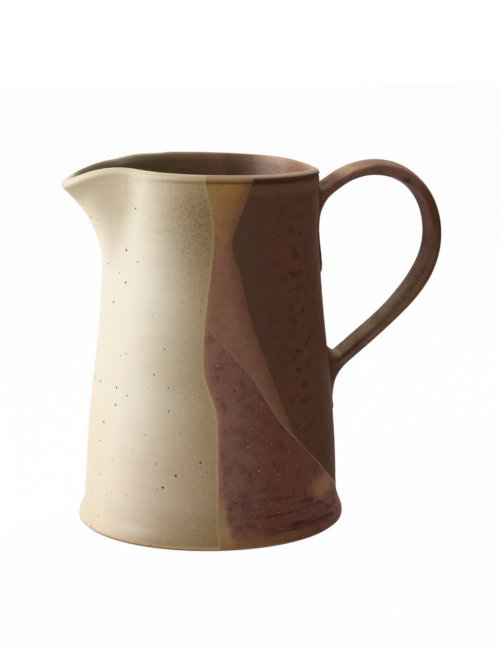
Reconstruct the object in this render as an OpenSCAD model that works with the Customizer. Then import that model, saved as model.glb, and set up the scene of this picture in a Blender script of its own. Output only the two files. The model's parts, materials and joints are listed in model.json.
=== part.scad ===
// Wheel-thrown stoneware pitcher with a pulled spout, a pulled strap handle and dipped glazes.
// Millimetres. It stands on z = 0 with the spout towards -x and the handle towards +x.

/* [Thrown body] */
// Height of the rim above the table
height = 195; // [180:1:220]
// Radius of the round part of the rim
rim_radius = 57.4; // [52:0.2:63]
// Radius of the wall low down, before it is drawn in
waist_radius = 69.6; // [66:0.2:76]
// Height at which the wall is half drawn in
draw_height = 86.6; // [75:0.2:100]
// Length over which the wall draws in
draw_length = 53.4; // [40:0.2:65]
// How far the foot flares out past the wall
foot_flare = 3.2; // [1:0.1:6]
// Height of the widest line of the foot
foot_rise = 4; // [3:0.1:6]
// Height over which the flare dies away into the wall
flare_length = 6.9; // [5:0.1:9]
// How far the foot tucks in between its widest line and the table
foot_tuck = 2.4; // [1:0.1:4]
// Thickness of the wall
wall = 4.8; // [4:0.1:6]
// Thickness of the floor
floor_thickness = 7; // [5:0.1:10]
// Radius between the floor and the wall inside
floor_fillet = 12; // [6:0.5:20]
// Radius of the shallow hollow turned under the floor
recess_radius = 58; // [45:0.5:60]
// Depth of that hollow
recess_depth = 1.5; // [0.5:0.1:2.5]
// Depth of the groove under the lip
groove_depth = 0.7; // [0.2:0.1:1.2]
// Distance of the groove below the start of the lip
groove_drop = 2; // [1.5:0.1:3]
// How far the rim falls towards the handle
rim_fall = 1.5; // [0:0.1:3]
// How far the rim rises towards the far side
rim_rise = 1; // [0:0.1:2]

/* [Spout] */
// Distance of the tip of the spout from the axis
spout_reach = 82.5; // [72:0.5:90]
// Height at which the spout begins to grow out of the wall
spout_root = 125.4; // [115:0.2:145]
// Power with which the spout grows towards the rim
spout_power = 2.9; // [2:0.1:3.5]
// Half width of the spout, degrees round the rim
spout_width = 15; // [12:0.5:22]
// How far the tip droops below the rim
spout_droop = 10.5; // [4:0.5:14]
// Half width of the droop, degrees round the rim
droop_width = 11; // [9:0.5:18]
// How far the throat is pinched in on both sides of the spout
throat_pinch = 3.3; // [0:0.1:5]
// Place of the pinch, degrees from the spout
pinch_angle = 29; // [26:0.5:38]
// Half width of the pinch, degrees round the rim
pinch_width = 19; // [14:0.5:24]

/* [Handle] */
// Distance of the root of the strap below the rim
strap_drop = 19.4; // [17:0.2:26]
// Height of the lower end of the strap
strap_low = 82; // [74:0.5:92]
// Distance of the outermost strap centre from the round rim
strap_bow = 69.1; // [60:0.1:76]
// Distance of that outermost point below the rim
strap_belly = 41.4; // [36:0.2:48]
// Thickness of the strap at its upper end
strap_thick_top = 6.6; // [5.5:0.1:8.5]
// Thickness of the strap at its outermost point
strap_thick_mid = 7.2; // [6:0.1:9]
// Thickness of the strap at its lower end
strap_thick_low = 7.2; // [6:0.1:9]
// Width of the strap at its upper end
strap_wide_top = 25; // [20:0.5:28]
// Width of the strap at its lower end
strap_wide_low = 22; // [17:0.5:26]
// Outward pull of the curve at the upper root
root_pull_out = 22.7; // [18:0.1:27]
// Upward pull of the curve at the upper root
root_pull_up = 28.6; // [24:0.2:34]
// Upward pull of the curve above the outermost point
crest_pull = 39; // [34:0.5:44]
// Downward pull of the curve below the outermost point
belly_pull = 29.8; // [24:0.2:36]
// Outward pull of the curve at the lower end
low_pull_out = 24.7; // [20:0.1:30]
// Upward pull of the curve at the lower end
low_pull_up = 21; // [17:0.5:26]

/* [Luted joints] */
// Clear distance of the upper end of the strap's curve from the wall
root_clear = 2; // [1:0.1:4]
// Clear distance of the lower end of that curve
low_clear = 4.5; // [3:0.1:6]
// Half width of the clay smeared on at the upper joint
upper_spread = 15; // [13.5:0.5:18]
// Height of that clay above the middle of the joint
upper_reach_up = 12; // [9:0.5:13]
// Length of its tail down the wall
upper_tail = 50; // [34:0.5:54]
// Half width of the clay at the lower joint
lower_spread = 16.5; // [13:0.5:19]
// Height of that clay above the middle of the joint
lower_reach_up = 16; // [12:0.5:20]
// Its length below the middle of the joint
lower_reach_down = 26; // [18:0.5:30]

/* [Glaze] */
// Thickness of the glaze coats
glaze = 0.6; // [0.5:0.05:0.8]
// Distance of the cream edge from the axis, towards the spout
cream_offset = 11; // [6:0.5:18]
// How far that edge sways towards the spout halfway up
cream_sway = 6; // [0:0.5:9]
// Height of the middle of the sway
cream_sway_height = 105; // [90:1:115]
// Height at which the brown dip reaches furthest towards the spout
brown_point_height = 159; // [145:1:170]
// Distance of that point from the axis, towards the handle
brown_point_x = -1; // [-4:0.5:6]
// Height at which the brown edge bends into the slanting dip line
brown_bend_height = 56; // [46:1:68]
// Distance of that bend from the axis, towards the handle
brown_bend_x = 32.5; // [24:0.5:40]
// Slope of the slanting dip line, degrees
brown_slope = 48; // [40:1:52]
// Lean of the brown edge above its furthest point, degrees
brown_lean = 20; // [10:1:26]

/* [Hidden] */
round_steps = 240;

// The upper wall is lofted; its ring lies just inside the turned ring that it grows from.
loft_lead = 5;
loft_z = spout_root - loft_lead;
seam_depth = 2;
seam_inset = 0.03;
seam_clear = 0.2;
lip_radius = (wall - seam_inset - seam_clear) / 2;
lip_z = height - lip_radius;
groove_width = 1;
fine_span = 30;
fine_steps = 24;
coarse_steps = 40;
column_count = fine_steps + coarse_steps;
lip_step = 30;
probe = 0.4;

// Angles from the spout that the skins of the dips and the slice behind the handle span.
cream_span = 90;
plum_first = 50;
plum_last = 125;
brown_first = 75;
slice_first = 140;
slice_radius = 30;

// Heights of the turned profile: the rounded foot, the flare and the wall.
foot_step = 18;
flare_steps = 8;
wall_steps = 8;
flare_lengths = 3;
flare_top = foot_rise + flare_lengths * flare_length;
foot_levels = [for (a = [0:foot_step:90]) foot_rise * (1 - cos(a))];
flare_levels = [for (k = [1:flare_steps]) foot_rise + (flare_top - foot_rise) * k / flare_steps];
wall_levels = [for (k = [1:wall_steps]) flare_top + (loft_z - flare_top) * k / wall_steps];
turned_levels = concat(foot_levels, flare_levels, wall_levels);
bare_levels = 3;
band_lap = 0.3;
band_levels = concat(
    [for (k = [bare_levels:len(turned_levels) - 1]) turned_levels[k]],
    [loft_z + band_lap]);

// Heights of the lofted wall: even steps, then close ones for the groove.
rise_steps = 8;
groove_steps = 3;
groove_step = 1.5;
rise_top = lip_z - groove_steps * groove_step;
rise_levels = concat(
    [for (k = [0:rise_steps]) loft_z + (rise_top - loft_z) * k / rise_steps],
    [for (k = [groove_steps - 1:-1:0]) lip_z - k * groove_step]);
fall_steps = 8;
fall_levels = [for (k = [0:fall_steps]) lip_z - (lip_z - loft_z) * k / fall_steps];

fillet_z = floor_thickness + floor_fillet;
fillet_step = 18;
inside_levels = [for (k = [0:wall_steps]) loft_z - (loft_z - fillet_z) * k / wall_steps];

// Curve of the strap: two cubic curves that meet at the outermost point.
section_count = 20;
section_power = 0.45;
foot_power = 0.8;
upper_stations = 15;
lower_stations = 12;
strap_start = 0.12;
strap_end = 0.92;
root_z = height - strap_drop;
root_point = [wall_radius(root_z) + root_clear, root_z];
bow_point = [rim_radius + strap_bow, height - strap_belly];
low_point = [wall_radius(strap_low) + low_clear, strap_low];
upper_curve = [root_point, root_point + [root_pull_out, root_pull_up],
               bow_point + [0, crest_pull], bow_point];
lower_curve = [bow_point, bow_point - [0, belly_pull],
               low_point + [low_pull_out, low_pull_up], low_point];
strap_path = concat(
    [for (k = [0:upper_stations]) [0, strap_start + (1 - strap_start) * k / upper_stations]],
    [for (k = [1:lower_stations]) [1, strap_end * k / lower_stations]]);
station_count = len(strap_path);
flare_rings = 6;
upper_hug = 1;
lower_hug = 0.7;
tail_power = 2;
root_depth = 3;

// Edges of the dips, seen from the front, in x and z.
edge_steps = 12;
sway_length = 24;
bend_power = 1.35;
far_x = 120;
high_z = height + 20;
low_z = -10;
cream_edge = [for (k = [0:edge_steps]) let (z = low_z + (high_z - low_z) * k / edge_steps)
    [-cream_offset - cream_sway * bump(z - cream_sway_height, sway_length), z]];
brown_edge = concat(
    [[brown_point_x + tan(brown_lean) * (high_z - brown_point_height), high_z]],
    [for (k = [0:edge_steps]) let (s = k / edge_steps)
        [brown_point_x + (brown_bend_x - brown_point_x) * pow(s, bend_power),
         brown_point_height + (brown_bend_height - brown_point_height) * s]],
    [[far_x, brown_bend_height - tan(brown_slope) * (far_x - brown_bend_x)]]);

clay = "#b08d68";
brown = "#4a2f23";
cream = "#ddd0b4";
plum = "#66443a";
liner = "#6a5140";

function tanh(v) = (exp(2 * v) - 1) / (exp(2 * v) + 1);
function unit(v) = v / norm(v);
function reversed(list) = [for (k = [len(list) - 1:-1:0]) list[k]];
function flat(rows) = [for (row = rows) for (item = row) item];
function signed_power(v, p) = sign(v) * pow(abs(v), p);

// Radius of the outside of the thrown wall at a height.
function wall_radius(z) =
    waist_radius
    + (rim_radius - waist_radius) * 0.5 * (1 + tanh((z - draw_height) / draw_length))
    + foot_flare * exp(-pow((z - foot_rise) / flare_length, 2));
function foot_radius(z) =
    wall_radius(foot_rise) - foot_tuck
    + foot_tuck * sqrt(max(0, 1 - pow((foot_rise - z) / foot_rise, 2)));
function outside_radius(z) = z < foot_rise ? foot_radius(z) : wall_radius(z);

// Profile of the inside, from the loft down to the axis, moved in by a thickness.
function inside_profile(coat) = concat(
    [for (z = inside_levels) [wall_radius(z) - wall - coat, z]],
    [for (a = [fillet_step:fillet_step:90])
        [wall_radius(fillet_z) - wall - floor_fillet + (floor_fillet - coat) * cos(a),
         fillet_z - (floor_fillet - coat) * sin(a)]],
    [[0, floor_thickness + coat]]);

// Columns of the loft, close together at the spout; angles are counted from the spout.
function column_angle(k) =
    k < fine_steps
    ? -fine_span + k * 2 * fine_span / fine_steps
    : fine_span + (k - fine_steps) * (360 - 2 * fine_span) / coarse_steps;
function angles_from(first, last) =
    [for (k = [0:column_count - 1]) let (d = column_angle(k)) if (d >= first && d <= last) d];
function turned_back(d) = d > 180 ? d - 360 : d;
function bump(d, width) = exp(-pow(d / width, 2));
function growth(z) = max(0, (z - spout_root) / (height - spout_root));

// Point of the outside of the upper wall at an angle from the spout and a height.
function wall_point(d, z) = let (
        u = growth(z),
        off = abs(turned_back(d)),
        r = wall_radius(z)
            + (spout_reach - rim_radius) * pow(u, spout_power) * bump(off, spout_width)
            - throat_pinch * u * bump(off - pinch_angle, pinch_width),
        lift = rim_rise * sin(d + 180) - rim_fall * cos(d + 180) - spout_droop * bump(off, droop_width))
    [r * cos(d + 180), r * sin(d + 180), z + u * lift];
function wall_out(d, z) = unit(cross(
    wall_point(d + probe, z) - wall_point(d - probe, z),
    wall_point(d, z + probe) - wall_point(d, z - probe)));
function wall_up(d, z) = unit(wall_point(d, z + probe) - wall_point(d, z - probe));
function groove(z) = groove_depth * exp(-pow((z - lip_z + groove_drop) / groove_width, 2));

// Columns of points up the outside, over the lip and down the inside; coat moves them outwards.
function outside_column(d, coat) =
    [for (z = rise_levels) wall_point(d, z) + wall_out(d, z) * (coat - seam_inset - groove(z))];
function lip_column(d, coat, first, last) = let (
        out = wall_out(d, lip_z),
        up = wall_up(d, lip_z),
        centre = wall_point(d, lip_z) - out * (seam_inset + lip_radius))
    [for (a = [first:lip_step:last]) centre + (lip_radius + coat) * (out * cos(a) + up * sin(a))];
function inside_column(d, coat) =
    [for (z = fall_levels) wall_point(d, z) - wall_out(d, z) * (wall - seam_clear + coat)];
function round_point(d, r, z) = [r * cos(d + 180), r * sin(d + 180), z];

// Triangles of a loop of points swept along columns, closed round or capped across a thin loop.
function sweep_faces(columns, loop, closed, outward) = [
    for (c = [0:columns - (closed ? 1 : 2)]) for (k = [0:loop - 1]) let (
            n = (c + 1) % columns,
            m = (k + 1) % loop,
            a = c * loop + k,
            b = n * loop + k,
            e = n * loop + m,
            f = c * loop + m)
        each outward ? [[a, e, b], [a, f, e]] : [[a, b, e], [a, e, f]]];
function thin_caps(columns, loop, outward) = [
    for (k = [0:loop / 2 - 2]) let (
            top = (columns - 1) * loop,
            p = loop - 1 - k,
            q = loop - 2 - k)
        each outward
        ? [[p, q, k], [q, k + 1, k], [top + k, top + k + 1, top + q], [top + k, top + q, top + p]]
        : [[k, k + 1, q], [k, q, p], [top + p, top + q, top + k], [top + q, top + k + 1, top + k]]];

// Section of the strap at a station: a flat band with rounded edges across the curve.
function bezier(p, t) =
    p[0] * pow(1 - t, 3) + p[1] * 3 * pow(1 - t, 2) * t + p[2] * 3 * (1 - t) * t * t + p[3] * pow(t, 3);
function bezier_run(p, t) = unit(
    (p[1] - p[0]) * pow(1 - t, 2) + (p[2] - p[1]) * 2 * (1 - t) * t + (p[3] - p[2]) * t * t);
function strap_curve(station) = station[0] == 0 ? upper_curve : lower_curve;
function strap_centre(station) = bezier(strap_curve(station), station[1]);
function strap_run(station) = bezier_run(strap_curve(station), station[1]);
function strap_share(station) = (station[0] + station[1]) / 2;
function between(a, b, share) = a + (b - a) * share;
function strap_section(station) = let (
        c = strap_centre(station),
        run = strap_run(station),
        thick = (station[0] == 0
            ? between(strap_thick_top, strap_thick_mid, station[1])
            : between(strap_thick_mid, strap_thick_low, station[1])) / 2,
        wide = between(strap_wide_top, strap_wide_low, strap_share(station)) / 2)
    [for (k = [0:section_count - 1]) let (
            a = 360 * k / section_count,
            o = thick * signed_power(cos(a), section_power),
            y = wide * signed_power(sin(a), section_power))
        [c[0] - run[1] * o, y, c[1] + run[0] * o]];

// Clay of a luted joint: it leaves the strap's end along the strap and lies down on the wall.
function wall_x(y, z, coat) = sqrt(pow(wall_radius(z) + coat, 2) - y * y);
function run_to_wall(p, run) = let (
        guess = (p[0] - wall_x(p[1], p[2], glaze)) / -run[0],
        z = p[2] + run[1] * guess)
    (p[0] - wall_x(p[1], z, glaze)) / -run[0];
function joint_height(c, run) = c[1] + run[1] * run_to_wall([c[0], 0, c[1]], run);
function spread_point(k, middle, spread, outer, inner, inner_power) = let (
        a = 360 * k / section_count,
        y = spread * signed_power(sin(a), foot_power),
        z = middle + (cos(a) > 0 ? outer * pow(cos(a), foot_power) : -inner * pow(-cos(a), inner_power)))
    [wall_x(y, z, glaze), y, z];
function luting_rings(section, run, foot, hug) = concat(
    [for (s = [0:flare_rings]) let (t = s / flare_rings)
        [for (k = [0:section_count - 1]) let (
                hit = section[k] + [run[0], 0, run[1]] * run_to_wall(section[k], run))
            bezier([section[k], between(section[k], hit, hug), between(foot[k], hit, hug), foot[k]], t)]],
    [[for (k = [0:section_count - 1]) foot[k] - [root_depth + glaze, 0, 0]]]);

module swept(rings) {
    count = len(rings);
    last = (count - 1) * section_count;
    polyhedron(
        points = flat(rings),
        faces = concat(
            sweep_faces(count, section_count, false, true),
            [[for (k = [section_count - 1:-1:0]) k]],
            [[for (k = [0:section_count - 1]) last + k]]));
}

module turned_body() {
    rotate_extrude($fn = round_steps)
        polygon(concat(
            [[0, recess_depth], [recess_radius - recess_depth, recess_depth], [recess_radius, 0]],
            [for (z = turned_levels) [outside_radius(z), z]],
            inside_profile(0)));
}

module lofted_body() {
    low = loft_z - seam_depth;
    columns = [for (k = [0:column_count - 1]) let (d = column_angle(k)) concat(
        [round_point(d, wall_radius(low) - seam_inset, low)],
        outside_column(d, 0),
        lip_column(d, 0, lip_step, 180 - lip_step),
        inside_column(d, 0),
        [round_point(d, wall_radius(low) - wall + seam_clear, low)])];
    polyhedron(points = flat(columns), faces = sweep_faces(column_count, len(columns[0]), true, true));
}

module body() {
    color(clay) union() {
        turned_body();
        lofted_body();
    }
}

// Outer glaze coat: a turned band low down, and a skin on the loft from one angle to another.
module coat_band() {
    rotate_extrude($fn = round_steps)
        polygon(concat(
            [for (z = band_levels) [outside_radius(z), z]],
            [for (z = reversed(band_levels)) [outside_radius(z) + glaze, z]]));
}

module coat_skin(angles) {
    columns = [for (d = angles) concat(
        outside_column(d, 0),
        lip_column(d, 0, lip_step, 90),
        reversed(lip_column(d, glaze, lip_step, 90)),
        reversed(outside_column(d, glaze)))];
    loop = len(columns[0]);
    polyhedron(
        points = flat(columns),
        faces = concat(
            sweep_faces(len(columns), loop, false, false),
            thin_caps(len(columns), loop, false)));
}

module dip(area) {
    rotate([90, 0, 0])
        linear_extrude(height = 2 * far_x, center = true)
            polygon(area);
}

module cream_glaze() {
    color(cream) intersection() {
        union() {
            coat_band();
            coat_skin(concat(
                [for (d = angles_from(360 - cream_span, 360)) d - 360],
                angles_from(-fine_span, cream_span)));
        }
        dip(concat([[-far_x, low_z]], cream_edge, [[-far_x, high_z]]));
    }
}

module plum_glaze() {
    color(plum) intersection() {
        union() {
            coat_band();
            coat_skin(angles_from(plum_first, plum_last));
            coat_skin(angles_from(360 - plum_last, 360 - plum_first));
        }
        dip(concat(cream_edge, brown_edge));
    }
}

module brown_glaze() {
    color(brown) difference() {
        intersection() {
            union() {
                coat_band();
                coat_skin(angles_from(brown_first, 360 - brown_first));
            }
            dip(concat(brown_edge, [[far_x, high_z]]));
        }
        upper_clay();
        lower_clay();
    }
}

module liner_glaze() {
    columns = [for (k = [0:column_count - 1]) let (d = column_angle(k)) concat(
        lip_column(d, 0, 90, 180 - lip_step),
        inside_column(d, 0),
        reversed(inside_column(d, glaze)),
        reversed(lip_column(d, glaze, 90, 180 - lip_step)))];
    color(liner) union() {
        rotate_extrude($fn = round_steps)
            polygon(concat(inside_profile(0), reversed(inside_profile(glaze))));
        polyhedron(
            points = flat(columns),
            faces = sweep_faces(column_count, len(columns[0]), true, false));
    }
}

module handle() {
    color(brown) swept([for (station = strap_path) strap_section(station)]);
}

module upper_clay() {
    station = strap_path[0];
    section = strap_section(station);
    run = -strap_run(station);
    middle = joint_height(strap_centre(station), run);
    foot = [for (k = [0:section_count - 1])
        spread_point(k, middle, upper_spread, upper_reach_up, upper_tail, tail_power)];
    swept(reversed(luting_rings(section, run, foot, upper_hug)));
}

module lower_clay() {
    station = strap_path[station_count - 1];
    section = strap_section(station);
    run = strap_run(station);
    middle = joint_height(strap_centre(station), run);
    foot = [for (k = [0:section_count - 1])
        spread_point(k, middle, lower_spread, -lower_reach_down, -lower_reach_up, foot_power)];
    swept(luting_rings(section, run, foot, lower_hug));
}

// Slice of the wall behind the handle, to trim the upper clay to the wall's own facets.
module wall_slice() {
    columns = [for (d = angles_from(slice_first, 360 - slice_first)) concat(
        outside_column(d, 0),
        reversed([for (z = rise_levels) round_point(d, slice_radius, z)]))];
    loop = len(columns[0]);
    polyhedron(
        points = flat(columns),
        faces = concat(
            sweep_faces(len(columns), loop, false, true),
            thin_caps(len(columns), loop, true)));
}

module upper_luting() {
    color(brown) difference() {
        upper_clay();
        wall_slice();
    }
}

module lower_luting() {
    color(brown) difference() {
        lower_clay();
        rotate_extrude($fn = round_steps)
            polygon(concat([[0, 0]], [for (z = turned_levels) [outside_radius(z), z]], [[0, loft_z]]));
    }
}

body();
handle();
upper_luting();
lower_luting();
cream_glaze();
plum_glaze();
brown_glaze();
liner_glaze();
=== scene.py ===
# %% [markdown]
# # A dip-glazed stoneware pitcher
# The pitcher is thrown on a wheel, its spout is pulled from the soft rim with a finger, and a pulled
# strap is luted on as a handle. Then the bisque pot is dipped into several glazes, one side at a time.
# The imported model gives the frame: foot on the origin, spout along -X, handle along +X. Every piece
# below is made in that frame, in metres, so nothing has to be fitted afterwards.

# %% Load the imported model
import json
import math

import bmesh
import bpy
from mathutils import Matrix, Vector, noise
from mathutils.bvhtree import BVHTree

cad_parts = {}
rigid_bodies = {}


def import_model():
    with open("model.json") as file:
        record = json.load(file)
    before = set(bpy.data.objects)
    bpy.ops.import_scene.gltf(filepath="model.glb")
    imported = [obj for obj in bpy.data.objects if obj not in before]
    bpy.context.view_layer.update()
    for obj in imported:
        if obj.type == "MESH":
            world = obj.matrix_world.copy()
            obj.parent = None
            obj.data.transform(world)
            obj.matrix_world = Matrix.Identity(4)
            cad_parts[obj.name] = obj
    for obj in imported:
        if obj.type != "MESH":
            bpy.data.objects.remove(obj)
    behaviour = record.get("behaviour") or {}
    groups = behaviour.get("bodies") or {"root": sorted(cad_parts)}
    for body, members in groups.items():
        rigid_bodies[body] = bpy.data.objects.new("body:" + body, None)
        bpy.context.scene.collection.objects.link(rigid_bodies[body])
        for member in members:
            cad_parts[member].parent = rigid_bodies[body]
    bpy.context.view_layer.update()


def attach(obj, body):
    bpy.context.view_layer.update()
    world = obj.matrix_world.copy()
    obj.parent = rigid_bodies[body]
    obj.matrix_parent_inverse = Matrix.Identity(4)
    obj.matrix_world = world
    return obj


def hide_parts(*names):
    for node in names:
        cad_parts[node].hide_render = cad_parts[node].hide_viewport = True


for thing in list(bpy.data.objects):
    bpy.data.objects.remove(thing)
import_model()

# %% [markdown]
# Both geometry and materials are built from nodes, and a node is always the same three things: a kind,
# its settings and what feeds its sockets. One helper does all three. It could be one function per kind
# of node, but then each new idea would need a new function first.

# %% One helper that adds a node, and one that reads a colour
MM = 0.001


def add(tree, kind, inputs=(), **settings):
    """Add a node; a dot in its kind gives the operation, inputs go by place or by name."""
    kind, _, operation = kind.partition(".")
    node = tree.nodes.new(kind)
    if operation:
        node.operation = operation
    for name, value in settings.items():
        setattr(node, name, value)
    sockets = [socket for socket in node.inputs if socket.enabled]
    named = {socket.name: socket for socket in reversed(sockets)}
    for key, value in inputs.items() if isinstance(inputs, dict) else enumerate(inputs):
        socket = named[key] if isinstance(key, str) else sockets[key]
        if isinstance(value, bpy.types.Node):
            value = next(output for output in value.outputs if output.enabled)
        if isinstance(value, bpy.types.NodeSocket):
            tree.links.new(value, socket)
        elif value is not None:
            socket.default_value = value
    return node


def srgb(code):
    """Linear colour of an sRGB hex value."""
    parts = [int(code[k:k + 2], 16) / 255 for k in (1, 3, 5)]
    return [v / 12.92 if v <= 0.04045 else ((v + 0.055) / 1.055) ** 2.4 for v in parts] + [1.0]


print("helpers ready, white is", srgb("#ffffff"))

# %% [markdown]
# The photograph was taken from a little above the rim with a long lens, which keeps the foot and the
# rim nearly parallel. The camera comes first, so that every later look is from the right place. The
# focal length is for a 36 mm tall sensor, because the picture is upright.

# %% Camera
camera = bpy.data.objects.new("camera", bpy.data.cameras.new("camera"))
camera.data.sensor_fit = "VERTICAL"
camera.data.sensor_height = 36
camera.data.lens = 105.14
camera.location = (-0.21407, -0.99780, 0.29527)
aim = Vector((0.02090, -0.00495, 0.10691)) - camera.location
camera.rotation_euler = aim.to_track_quat("-Z", "Y").to_euler()
camera.data.clip_start = 0.01
bpy.context.collection.objects.link(camera)
bpy.context.scene.camera = camera
print("camera stands", round(aim.length, 3), "m from what it looks at")

# %% [markdown]
# ## The thrown wall
# A thrown pot is one curve turned about an axis, so its rule is short: a radius for each height, plus
# a bump that grows towards the rim on one side for the spout. A modelled mesh could be pushed about by
# hand, but a rule gives every coat of glaze exactly the same form under it. These are its sizes, with
# lengths in metres and angles in radians. Down to the fall of the rim they follow the part's source to
# half a millimetre; the last seventeen are unevenness from the potter's hands, two millimetres at most.

# %% Sizes of the wall
WALL = {
    "Height": 195 * MM,
    "Rim Radius": 57.4 * MM,
    "Waist Radius": 69.6 * MM,
    "Draw Height": 86.6 * MM,
    "Draw Length": 53.4 * MM,
    "Foot Flare": 3.2 * MM,
    "Foot Rise": 4 * MM,
    "Flare Length": 6.9 * MM,
    "Foot Tuck": 2.4 * MM,
    "Spout Reach": 82.5 * MM,
    "Spout Root": 125.4 * MM,
    "Spout Power": 2.9,
    "Spout Width": math.radians(15),
    "Spout Droop": 10 * MM,
    "Droop Width": math.radians(11),
    "Throat Pinch": 3.3 * MM,
    "Pinch Angle": math.radians(29),
    "Pinch Width": math.radians(19),
    "Rim Rise": 1.2 * MM,
    "Rim Fall": 1.2 * MM,
    "Far Width": 0.87,
    "Far Pinch": 0.55,
    "Foot Tilt": 1.7 * MM,
    "Rim Dip": 1.6 * MM,
    "Dip Width": math.radians(26),
    "Press": 1.2 * MM,
    "Press Height": 156 * MM,
    "Press Length": 17 * MM,
    "Rim Lean": 0.8 * MM,
    "Foot Lean": -0.45 * MM,
    "Foot Lean Length": 25 * MM,
    "Lean": 0.7 * MM,
    "Lean Height": 105 * MM,
    "Lean Length": 45 * MM,
    "Ring Depth": 0.08 * MM,
    "Ring Pitch": 6.5 * MM,
    "Wobble": 0.5 * MM,
}
wall_thickness = 4.8 * MM
lip_radius = 2.285 * MM
lip_z = WALL["Height"] - lip_radius
groove_depth, groove_drop, groove_width = 0.5 * MM, 2 * MM, 1 * MM
print(len(WALL), "sizes, lip centre at", round(lip_z / MM, 2), "mm")

# %% [markdown]
# The soft bumps of the spout, the pinched throat and the flared foot are all the same bell curve, so
# it becomes a small group of nodes that the larger trees use again and again. Every group starts with
# its sockets, so one function makes a group from a list of them.

# %% Node group: bell curve
def new_group(name, kind, inputs, outputs):
    """A node group and its inputs; a socket is given by its type or, for a number, by its default."""
    group = bpy.data.node_groups.new(name, kind)
    for way, sockets in (("INPUT", inputs), ("OUTPUT", outputs)):
        for label, value in sockets.items():
            if isinstance(value, str):
                group.interface.new_socket(label, in_out=way, socket_type=value)
            else:
                socket = group.interface.new_socket(label, in_out=way, socket_type="NodeSocketFloat")
                socket.default_value = value
    return group, add(group, "NodeGroupInput").outputs


bell, given = new_group("bell curve", "GeometryNodeTree", {"Distance": 0, "Width": 0}, {"Bell": 0})
share = add(bell, "ShaderNodeMath.DIVIDE", [given["Distance"], given["Width"]])
square = add(bell, "ShaderNodeMath.MULTIPLY", [share, share])
fall = add(bell, "ShaderNodeMath.MULTIPLY", [square, -1.0])
add(bell, "NodeGroupOutput", [add(bell, "ShaderNodeMath.EXPONENT", [fall])])
print(bell.name, "has", len(bell.nodes), "nodes")

# %% [markdown]
# The rule itself: from a turn about the axis, counted from the spout, and a rise up the wall to a point
# on the outside. It starts with the round form: the wall drawn in towards the rim, the foot that flares
# and, under the foot's widest place, the edge that is tucked in so that it doesn't chip.

# %% Node group: point of the wall, the round form
wall_point, size = new_group("wall point", "GeometryNodeTree", {"Turn": 0, "Rise": 0, **WALL},
                             {"Position": "NodeSocketVector"})
turn, rise = size["Turn"], size["Rise"]
cosine = add(wall_point, "ShaderNodeMath.COSINE", [turn])
sine = add(wall_point, "ShaderNodeMath.SINE", [turn])
tilt = add(wall_point, "ShaderNodeMath.MULTIPLY",
           [add(wall_point, "ShaderNodeMath.MAXIMUM", [cosine, 0.0]), size["Foot Tilt"]])
foot_rise = add(wall_point, "ShaderNodeMath.SUBTRACT", [size["Foot Rise"], tilt])
above_foot = add(wall_point, "ShaderNodeMath.MAXIMUM", [rise, foot_rise])
from_draw = add(wall_point, "ShaderNodeMath.SUBTRACT", [above_foot, size["Draw Height"]])
drawn = add(wall_point, "ShaderNodeMath.TANH",
            [add(wall_point, "ShaderNodeMath.DIVIDE", [from_draw, size["Draw Length"]])])
drawn = add(wall_point, "ShaderNodeMath.MULTIPLY_ADD", [drawn, 0.5, 0.5])
taper = add(wall_point, "ShaderNodeMath.SUBTRACT", [size["Rim Radius"], size["Waist Radius"]])
radius = add(wall_point, "ShaderNodeMath.MULTIPLY_ADD", [taper, drawn, size["Waist Radius"]])
from_foot = add(wall_point, "ShaderNodeMath.SUBTRACT", [above_foot, foot_rise])
flare = add(wall_point, "GeometryNodeGroup", [from_foot, size["Flare Length"]], node_tree=bell)
radius = add(wall_point, "ShaderNodeMath.MULTIPLY_ADD", [flare, size["Foot Flare"], radius])
below_foot = add(wall_point, "ShaderNodeMath.SUBTRACT", [foot_rise, rise])
below_foot = add(wall_point, "ShaderNodeMath.DIVIDE", [below_foot, foot_rise], use_clamp=True)
below_foot = add(wall_point, "ShaderNodeMath.MULTIPLY", [below_foot, below_foot])
tucked = add(wall_point, "ShaderNodeMath.SQRT",
             [add(wall_point, "ShaderNodeMath.SUBTRACT", [1.0, below_foot])])
tucked = add(wall_point, "ShaderNodeMath.SUBTRACT", [tucked, 1.0])
radius = add(wall_point, "ShaderNodeMath.MULTIPLY_ADD", [tucked, size["Foot Tuck"], radius])
print("round form:", len(wall_point.nodes), "nodes so far")

# %% [markdown]
# The spout is where the potter's finger drew the rim outwards and down, while the thumb and another
# finger held the throat in on both sides. Each of the three is a bell curve over the angle from the
# spout, and it grows from nothing at the spout's root to its full size at the rim. A hand-pulled spout
# is never quite even: its far side is a little narrower and less pinched. By the handle the rim dips, and
# below it the wall is pressed in where the joint was smoothed down. A coat may run past half a turn, so
# the angle is folded twice to stay between nothing and half a turn.

# %% Node group: point of the wall, the pulled spout
off = turn
for _ in range(2):
    off = add(wall_point, "ShaderNodeMath.ABSOLUTE", [off])
    off = add(wall_point, "ShaderNodeMath.SUBTRACT", [math.pi, off])
above_root = add(wall_point, "ShaderNodeMath.SUBTRACT", [rise, size["Spout Root"]])
spout_tall = add(wall_point, "ShaderNodeMath.SUBTRACT", [size["Height"], size["Spout Root"]])
growth = add(wall_point, "ShaderNodeMath.DIVIDE", [above_root, spout_tall])
growth = add(wall_point, "ShaderNodeMath.MAXIMUM", [growth, 0.0])
uneven = add(wall_point, "ShaderNodeMapRange", [sine, -0.2, 0.2, size["Far Width"], 1.0])
width = add(wall_point, "ShaderNodeMath.MULTIPLY", [uneven, size["Spout Width"]])
spout = add(wall_point, "GeometryNodeGroup", [off, width], node_tree=bell)
swell = add(wall_point, "ShaderNodeMath.POWER", [growth, size["Spout Power"]])
spout = add(wall_point, "ShaderNodeMath.MULTIPLY", [spout, swell])
reach = add(wall_point, "ShaderNodeMath.SUBTRACT", [size["Spout Reach"], size["Rim Radius"]])
radius = add(wall_point, "ShaderNodeMath.MULTIPLY_ADD", [spout, reach, radius])
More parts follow.
